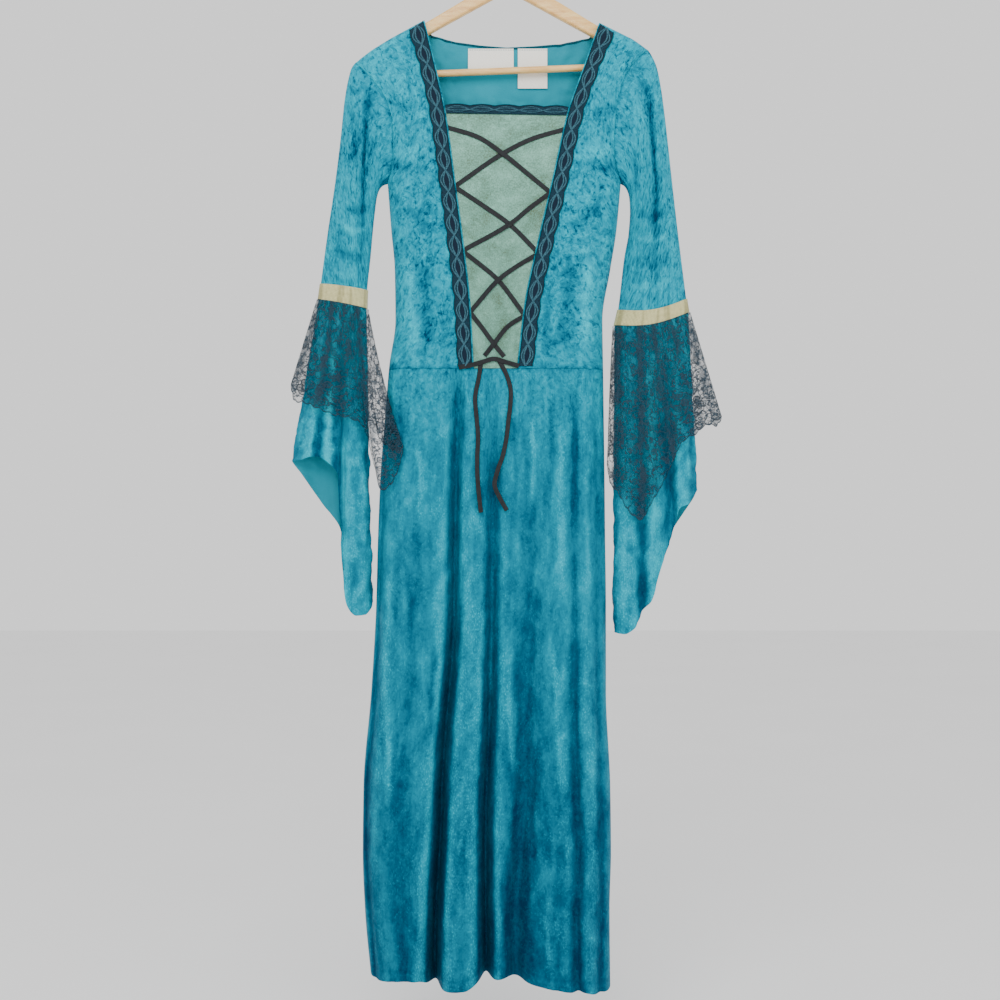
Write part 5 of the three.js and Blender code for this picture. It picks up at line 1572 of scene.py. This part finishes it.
def makeLace(side):
    for face, start, end in (("front", 0.0, 0.5), ("back", 0.5, 1.0)):
        around = crowded(start, end, laceSheet["columns"], False)
        lift = laceSheet["standoff"] + 1.0
        points = flouncePoints(side, laceHems[side], around, laceSheet["rows"], lift)
        down = np.linspace(0, 1, laceSheet["rows"])[:, None]
        gather = laceSheet["gather"] * np.sin(around * laceSheet["gathers"] * 2 * math.pi)
        normals, _ = gridNormals(points, False, faceWay[face])
        points = points + normals * (gather * smooth(down / 0.15) * (1 - down * 0.6))[..., None]
        hem = points[-1]
        along = np.concatenate([[0], np.cumsum(np.linalg.norm(np.diff(hem, axis=0), axis=1))])
        scallops = max(round(along[-1] / laceSheet["scallopPitch"]), 1)
        wave = np.abs(np.sin(math.pi * scallops * along / along[-1])) - 0.5
        way = points[-1] - points[-8]
        way /= np.linalg.norm(way, axis=1, keepdims=True)
        reach = laceSheet["scallopRise"] * wave[None, :] * smooth((down - 0.86) / 0.14)
        points = points + way[None] * reach[..., None]
        inward = points[:, 1] - points[:, 0]
        points[:, 0] += inward / np.linalg.norm(inward, axis=1, keepdims=True) * halfGap
        inward = points[:, -2] - points[:, -1]
        points[:, -1] += inward / np.linalg.norm(inward, axis=1, keepdims=True) * halfGap
        length = np.linalg.norm(np.diff(points, axis=0), axis=2)
        toHem = np.concatenate([np.cumsum(length[::-1], axis=0)[::-1], np.zeros((1, len(around)))])
        # the veil is denser at random, and darker by painted shade along the listed folds; it feeds "fold"
        veilAndFoldShade = 0.16 + 0.16 * waves(points[..., 0], points[..., 2], 16, 31, 3.0)
        folds = laceFoldShade[side]
        for k in range(len(folds["start"])):
            centre = lerp(folds["start"][k], folds["end"][k], down)
            off = (around[None, :] - centre) / folds["width"][k]
            veilAndFoldShade = veilAndFoldShade + folds["depth"][k] * np.exp(-(off**2)) * (1 - down * 0.4)
        addCloth(
            f"lace_{side}_{face}_net",
            f"lace_{side}_{face}",
            "lace",
            points,
            laceSheet["wall"],
            faceWay[face],
            pointed=True,
            restsOn=[f"sleeve_{side}_cloth"],
            values={"edge": np.clip(1.35 - toHem / 2.2, 0, 1), "fold": np.clip(veilAndFoldShade, 0, 1)},
        )


for side in ("left", "right"):
    makeBell(side)
    makeLace(side)
print("bells and lace made")


# The insert, and the embroidered trims with their chain of crossing strands
insert = {"top": {"left": -266, "right": -270}, "columns": 60, "rows": 110, "wall": 1.4}
trim = {
    "topZ": {"left": -143, "right": -147},
    "width": 19.4,
    "inset": 1.7,
    "scallopRise": 2.3,
    "scallopPitch": 30.0,
    "skew": 13.0,
    "shoulderLift": 1.3,
    "shoulderReach": 60.0,
    "wall": 0.8,
    "chainPitch": 30.0,
    "chainReach": (0.36, 0.2),
    "strand": 1.15,
    "cord": 0.85,
    "cordsAt": (0.03, 0.97),
}
insertTrim = {
    "height": 14.0,
    "rise": 2.2,
    "scallops": 5,
    "leftZ": -274.0,
    "rightZ": -277.0,
    "chainLength": 155,
    "chainReach": (0.3, 0.14),
    "strand": 0.5,
    "cord": 0.8,
    "cordsAt": (0.05, 0.95),
}


def makeInsert():
    down = np.linspace(0, 1, insert["rows"])[:, None]
    share = np.linspace(0, 1, insert["columns"])[None, :]
    z = lerp(lerp(insert["top"]["left"], insert["top"]["right"], share), waistZ + halfGap, down)
    left = read(neckline, "z", z, "left") + seamGap
    right = read(neckline, "z", z, "right") - seamGap
    x = lerp(left, right, share)
    fromEdge = np.minimum(x - left, right - x)
    uneven = 0.25 * waves(x, z, 34, 31, 1.5) - 0.25
    y = bodyY("front", x, z) - uneven * smooth(fromEdge / 8) * smooth(down / 0.1) * smooth((1 - down) / 0.1)
    addCloth(
        "insert_cloth",
        "insert_panel",
        "insert_cloth",
        np.stack([x, y, z], axis=-1),
        insert["wall"],
        faceWay["front"],
        held="stretched",
        restsOn=["bodice_front_left_cloth", "bodice_front_right_cloth"],
    )


def onTrim(side, z, across, lift):  # a place on a neckline trim: across is 0 at the neck edge
    outward = -1 if side == "left" else 1
    topZ = trim["topZ"][side]
    near = np.clip(1 - (topZ - z) / trim["shoulderReach"], 0, 1)
    wave = np.abs(np.sin(math.pi * (topZ - z) / trim["scallopPitch"]))
    inner = read(neckline, "z", z, side) + outward * (halfGap + trim["inset"])
    reach = trim["width"] + trim["scallopRise"] * wave * across
    x = inner + outward * reach * across
    lowered = z - trim["skew"] * near * across
    return lifted("front", x, lowered, lift + seamGap + trim["shoulderLift"] * near)


def onInsertTrim(share, across, lift):  # across is 0 at its lower edge
    wave = np.abs(np.sin(math.pi * share * insertTrim["scallops"]))
    low = lerp(insertTrim["leftZ"], insertTrim["rightZ"], share)
    z = low + (insertTrim["height"] - insertTrim["rise"] * (1 - wave)) * across
    left = read(neckline, "z", z, "left") + 2 * seamGap
    x = lerp(left, read(neckline, "z", z, "right") - 2 * seamGap, share)
    return lifted("front", x, z, lift + seamGap)


def chainLines(place, length, middle, reaches):  # two pairs of strands that cross at each link
    lines = []
    along = np.linspace(0, 1, int(length * 1.6))
    links = round(length / trim["chainPitch"])
    for reach in reaches:
        for turn in (1, -1):
            swing = turn * np.sin(math.pi * along * links)
            under = turn * np.cos(math.pi * along * links)
            lines.append(place(along, middle + reach * swing, 1.15 + 0.35 * under))
    return lines


def makeTrims():
    for side in ("left", "right"):
        topZ, bottomZ = trim["topZ"][side], waistZ + 3
        length = topZ - bottomZ
        z = np.linspace(topZ, bottomZ, 260)[:, None]
        across = np.linspace(0, 1, 11)[None, :]
        points = onTrim(side, z, across, trim["wall"])
        links = round(length / trim["chainPitch"])
        swing = np.abs(np.sin(math.pi * links * (topZ - z) / length))
        eyes = swing - 3.2 * np.abs(across - 0.5)
        place = lambda along, across, lift: onTrim(side, lerp(topZ, bottomZ, along), across, lift)
        addCloth(
            f"trim_{side}_net",
            f"trim_{side}",
            "trim",
            points,
            trim["wall"],
            faceWay["front"],
            held="stretched",
            restsOn=[f"bodice_front_{side}_cloth"],
            values={"fold": eyes},
        )
        lines = chainLines(place, length, 0.5, trim["chainReach"])
        addThreads(f"trim_{side}_chain", "strand", lines, trim["strand"])
        along = np.linspace(0, 1, 300)
        edges = [place(along, np.full(300, edge), np.full(300, 1.0)) for edge in trim["cordsAt"]]
        addThreads(f"trim_{side}_edges", "cord", edges, trim["cord"])
    share = np.linspace(0, 1, 90)[:, None]
    points = onInsertTrim(share, np.linspace(0, 1, 5)[None, :], trim["wall"])
    addCloth(
        "trim_insert_net",
        "trim_insert",
        "trim",
        points,
        trim["wall"],
        faceWay["front"],
        held="stretched",
        restsOn=["insert_cloth"],
    )
    lines = chainLines(onInsertTrim, insertTrim["chainLength"], 0.48, insertTrim["chainReach"])
    addThreads("trim_insert_chain", "strand", lines, insertTrim["strand"])
    along = np.linspace(0, 1, 120)
    edges = [onInsertTrim(along, np.full(120, at), np.full(120, 0.9)) for at in insertTrim["cordsAt"]]
    addThreads("trim_insert_edges", "cord", edges, insertTrim["cord"])


makeInsert()
makeTrims()
print("insert and trims made")


def ribbonStrip(name, node, path, liftAt, keepIn):  # flat ribbon laid over the insert
    share = np.linspace(0, 1, 70)
    middle = pathThrough(path, share)
    along = np.gradient(middle, axis=0)
    along /= np.linalg.norm(along, axis=1, keepdims=True)
    across = np.linspace(-0.5, 0.5, 5)[None, :] * ribbon["width"]
    x = middle[:, :1] - along[:, 1:] * across
    z = middle[:, 1:] + along[:, :1] * across
    low = read(neckline, "z", z, "left") + keepIn
    x = np.clip(x, low, read(neckline, "z", z, "right") - keepIn)
    points = lifted("front", x, z, liftAt(share)[:, None] + ribbon["wall"] + 0 * x)
    addCloth(
        name,
        node,
        "ribbon",
        points,
        ribbon["wall"],
        faceWay["front"],
        held="stretched",
        restsOn=["insert_cloth"],
    )


def makeLacing():
    layer = ribbon["crossLift"] + seamGap
    for name, start, by, over, end, (atStart, atCross, atEnd) in lacing:

        def liftAt(share):
            cross = atCross * np.clip(1.6 - np.abs(share - 2 / 3) / 0.11, 0, 1)
            first = atStart * np.clip(1.5 - share / 0.13, 0, 1)
            final = atEnd * np.clip(1 - (1 - share) / 0.2, 0, 1)
            return seamGap + ribbon["rest"] + layer * np.maximum(np.maximum(cross, first), final)

        start = np.add(start, np.subtract(start, by) * 0.14)  # each end runs on to its trim
        end = np.add(end, np.subtract(end, over) * 0.1)
        path = (start, by, over, end)
        ribbonStrip(f"lacing_{name}_ribbon", f"lacing_{name}", path, liftAt, ribbon["keepIn"])
    level = lambda share: np.full(len(share), ribbon["waistLift"])
    ribbonStrip("waist_ribbon", "ribbon_waist", waistRibbon, level, -40)


makeLacing()
print("lacing made")


# Labels sewn into the back neck, bare, with a line of stitches along the top of each
labels = (
    ("label_wide", -54, 11, -172, -203),
    ("label_care", 17, 59, -172, -229),
)
label = {
    "gap": 2.5,
    "curl": 1.6,
    "wall": 0.6,
    "stitch": 2.2,
    "stitchPitch": 3.4,
    "stitchRadius": 0.28,
    "stitchDrop": 2.0,  # the stitches' line below the label's top
}


def makeLabels():
    for name, left, right, top, bottom in labels:
        down = np.linspace(0, 1, 24)[:, None]
        share = np.linspace(0, 1, 24)[None, :]
        x, z = np.broadcast_arrays(lerp(left, right, share), lerp(top, bottom, down))

        def onLabel(x, z, out):
            curl = label["curl"] * smooth((top - z) / (top - bottom) * 1.4 - 0.4)
            return np.stack([x, bodyY("back", x, z) - label["gap"] - curl - out, z], axis=-1)

        way, back = faceWay["front"], ["bodice_back_cloth"]
        addCloth(name + "_satin", name, "label", onLabel(x, z, 0), label["wall"], way, restsOn=back)
        stitches = []
        for k in range(int((right - left) / label["stitchPitch"])):
            start = left + 2 + k * label["stitchPitch"]
            line = np.linspace(start, start + label["stitch"], 4)
            stitches.append(onLabel(line, np.full(4, top - label["stitchDrop"]), 0.15))
        addThreads(name + "_stitches", "stitch", stitches, label["stitchRadius"])


makeLabels()
print("labels made")


# The hanger: two wooden arms, a round bar and a steel hook
hanger = {
    "thickness": 11.0,
    "round": 3.0,
    "bar": 4.7,
    "wire": 1.8,
    "hookRadius": 18.0,
    "stem": ((3, 0, -70.5), (3, 0, -60.5), (1, 0, -49.5)),
    "hookTurn": (212, -22),  # degrees, from the stem round to the tip
}
armOutlines = {
    "left": (
        (2.8, -71),
        (-60, -108),
        (-118, -142.5),
        (-165, -169),
        (-187, -184),
        (-196, -193),
        (-199, -205),
        (-197, -221),
        (-192, -224),
        (-186, -220),
        (-185, -204),
        (-176, -193),
        (-110, -156),
        (2.8, -94),
    ),
    "right": (
        (3.2, -71),
        (65, -105),
        (133, -146),
        (165, -162.5),
        (180, -172),
        (186, -181),
        (187, -192),
        (185, -206),
        (180, -209),
        (174, -205),
        (173, -190),
        (164, -181),
        (124, -160),
        (3.2, -94),
    ),
}
barEnds = ((-184.6, -214.5), (172.6, -200.4))


def makeHanger():
    for side, outline in armOutlines.items():
        bend = pathThrough(outline, np.linspace(0, 1, 130))
        shape = bmesh.new()
        half = hanger["thickness"] / 2
        front = [shape.verts.new((x / 1000, -half / 1000, z / 1000)) for x, z in bend]
        face = shape.faces.new(front)
        made = bmesh.ops.extrude_face_region(shape, geom=[face])
        moved = [item for item in made["geom"] if isinstance(item, bmesh.types.BMVert)]
        bmesh.ops.translate(shape, vec=(0, 2 * half / 1000, 0), verts=moved)
        rims = [edge for edge in shape.edges if abs(edge.verts[0].co.y - edge.verts[1].co.y) < 1e-6]
        settings = {"offset": hanger["round"] / 1000, "segments": 4, "profile": 0.5, "affect": "EDGES"}
        bmesh.ops.bevel(shape, geom=rims, clamp_overlap=True, **settings)
        bmesh.ops.recalc_face_normals(shape, faces=shape.faces)
        mesh = bpy.data.meshes.new(f"arm_{side}")
        shape.to_mesh(mesh)
        shape.free()
        mesh.polygons.foreach_set("use_smooth", np.ones(len(mesh.polygons), bool))
        mesh.set_sharp_from_angle(angle=math.radians(50))
        mesh.materials.append(finishes["wood"])
        arm = bpy.data.objects.new(f"hanger_arm_{side}_wood", mesh)
        bpy.context.collection.objects.link(arm)
        dress(arm, f"hanger_arm_{side}")
    (leftX, leftZ), (rightX, rightZ) = barEnds
    line = np.stack([np.linspace(leftX, rightX, 24), np.zeros(24), np.linspace(leftZ, rightZ, 24)], axis=1)
    addThreads("hanger_bar_wood", "wood", [line], hanger["bar"], 32, "hanger_bar")
    centreZ = -hanger["hookRadius"]
    bend = hanger["hookRadius"] + hanger["wire"]
    points = list(hanger["stem"])
    for angle in np.radians(np.linspace(*hanger["hookTurn"], 10)):
        points.append((bend * math.cos(angle), 0, centreZ + bend * math.sin(angle)))
    line = pathThrough(points, np.linspace(0, 1, 110))
    addThreads("hanger_hook_steel", "steel", [line], hanger["wire"], 20, "hanger_hook")


makeHanger()
print("hanger made")


# Floor, light and world
stage = {
    "floorZ": -1.62,
    "floorSize": 6,
    "sky": 1.15,
    "lights": (  # name, place, target, size, power
        ("window", (-0.5, -2.0, 0.8), (0, 0, -0.4), 1.4, 34),
        ("fill", (1.2, -1.9, -0.3), (0, 0, -0.7), 1.6, 13),
    ),
}


def makeStage():
    f = Finish("paleFloor")
    grey = f.noise(f.place(), 3.0, 2.0)
    colour = f.ramp(grey, (0.0, (0.86, 0.86, 0.86, 1)), (1.0, (0.9, 0.9, 0.9, 1)))
    f.finish(Base_Color=colour, Roughness=0.9)
    shape = bmesh.new()
    bmesh.ops.create_grid(shape, x_segments=1, y_segments=1, size=stage["floorSize"])
    shape.transform(Matrix.Translation((0, 0, stage["floorZ"])))
    mesh = bpy.data.meshes.new("floor")
    shape.to_mesh(mesh)
    shape.free()
    floor = bpy.data.objects.new("floor", mesh)
    mesh.materials.append(f.material)
    bpy.context.collection.objects.link(floor)
    world = bpy.data.worlds.new("softStudio")
    world.use_nodes = True
    background = world.node_tree.nodes["Background"]
    background.inputs["Color"].default_value = (1, 1, 1, 1)
    background.inputs["Strength"].default_value = stage["sky"]
    bpy.context.scene.world = world


def addLight(name, place, target, size, power):
    light = bpy.data.lights.new(name, "AREA")
    light.shape = "SQUARE"
    light.size = size
    light.energy = power
    made = bpy.data.objects.new(name, light)
    made.location = place
    way = Vector(target) - Vector(place)
    made.rotation_euler = way.to_track_quat("-Z", "Y").to_euler()
    bpy.context.collection.objects.link(made)


makeStage()
for light in stage["lights"]:
    addLight(*light)
print("stage made")
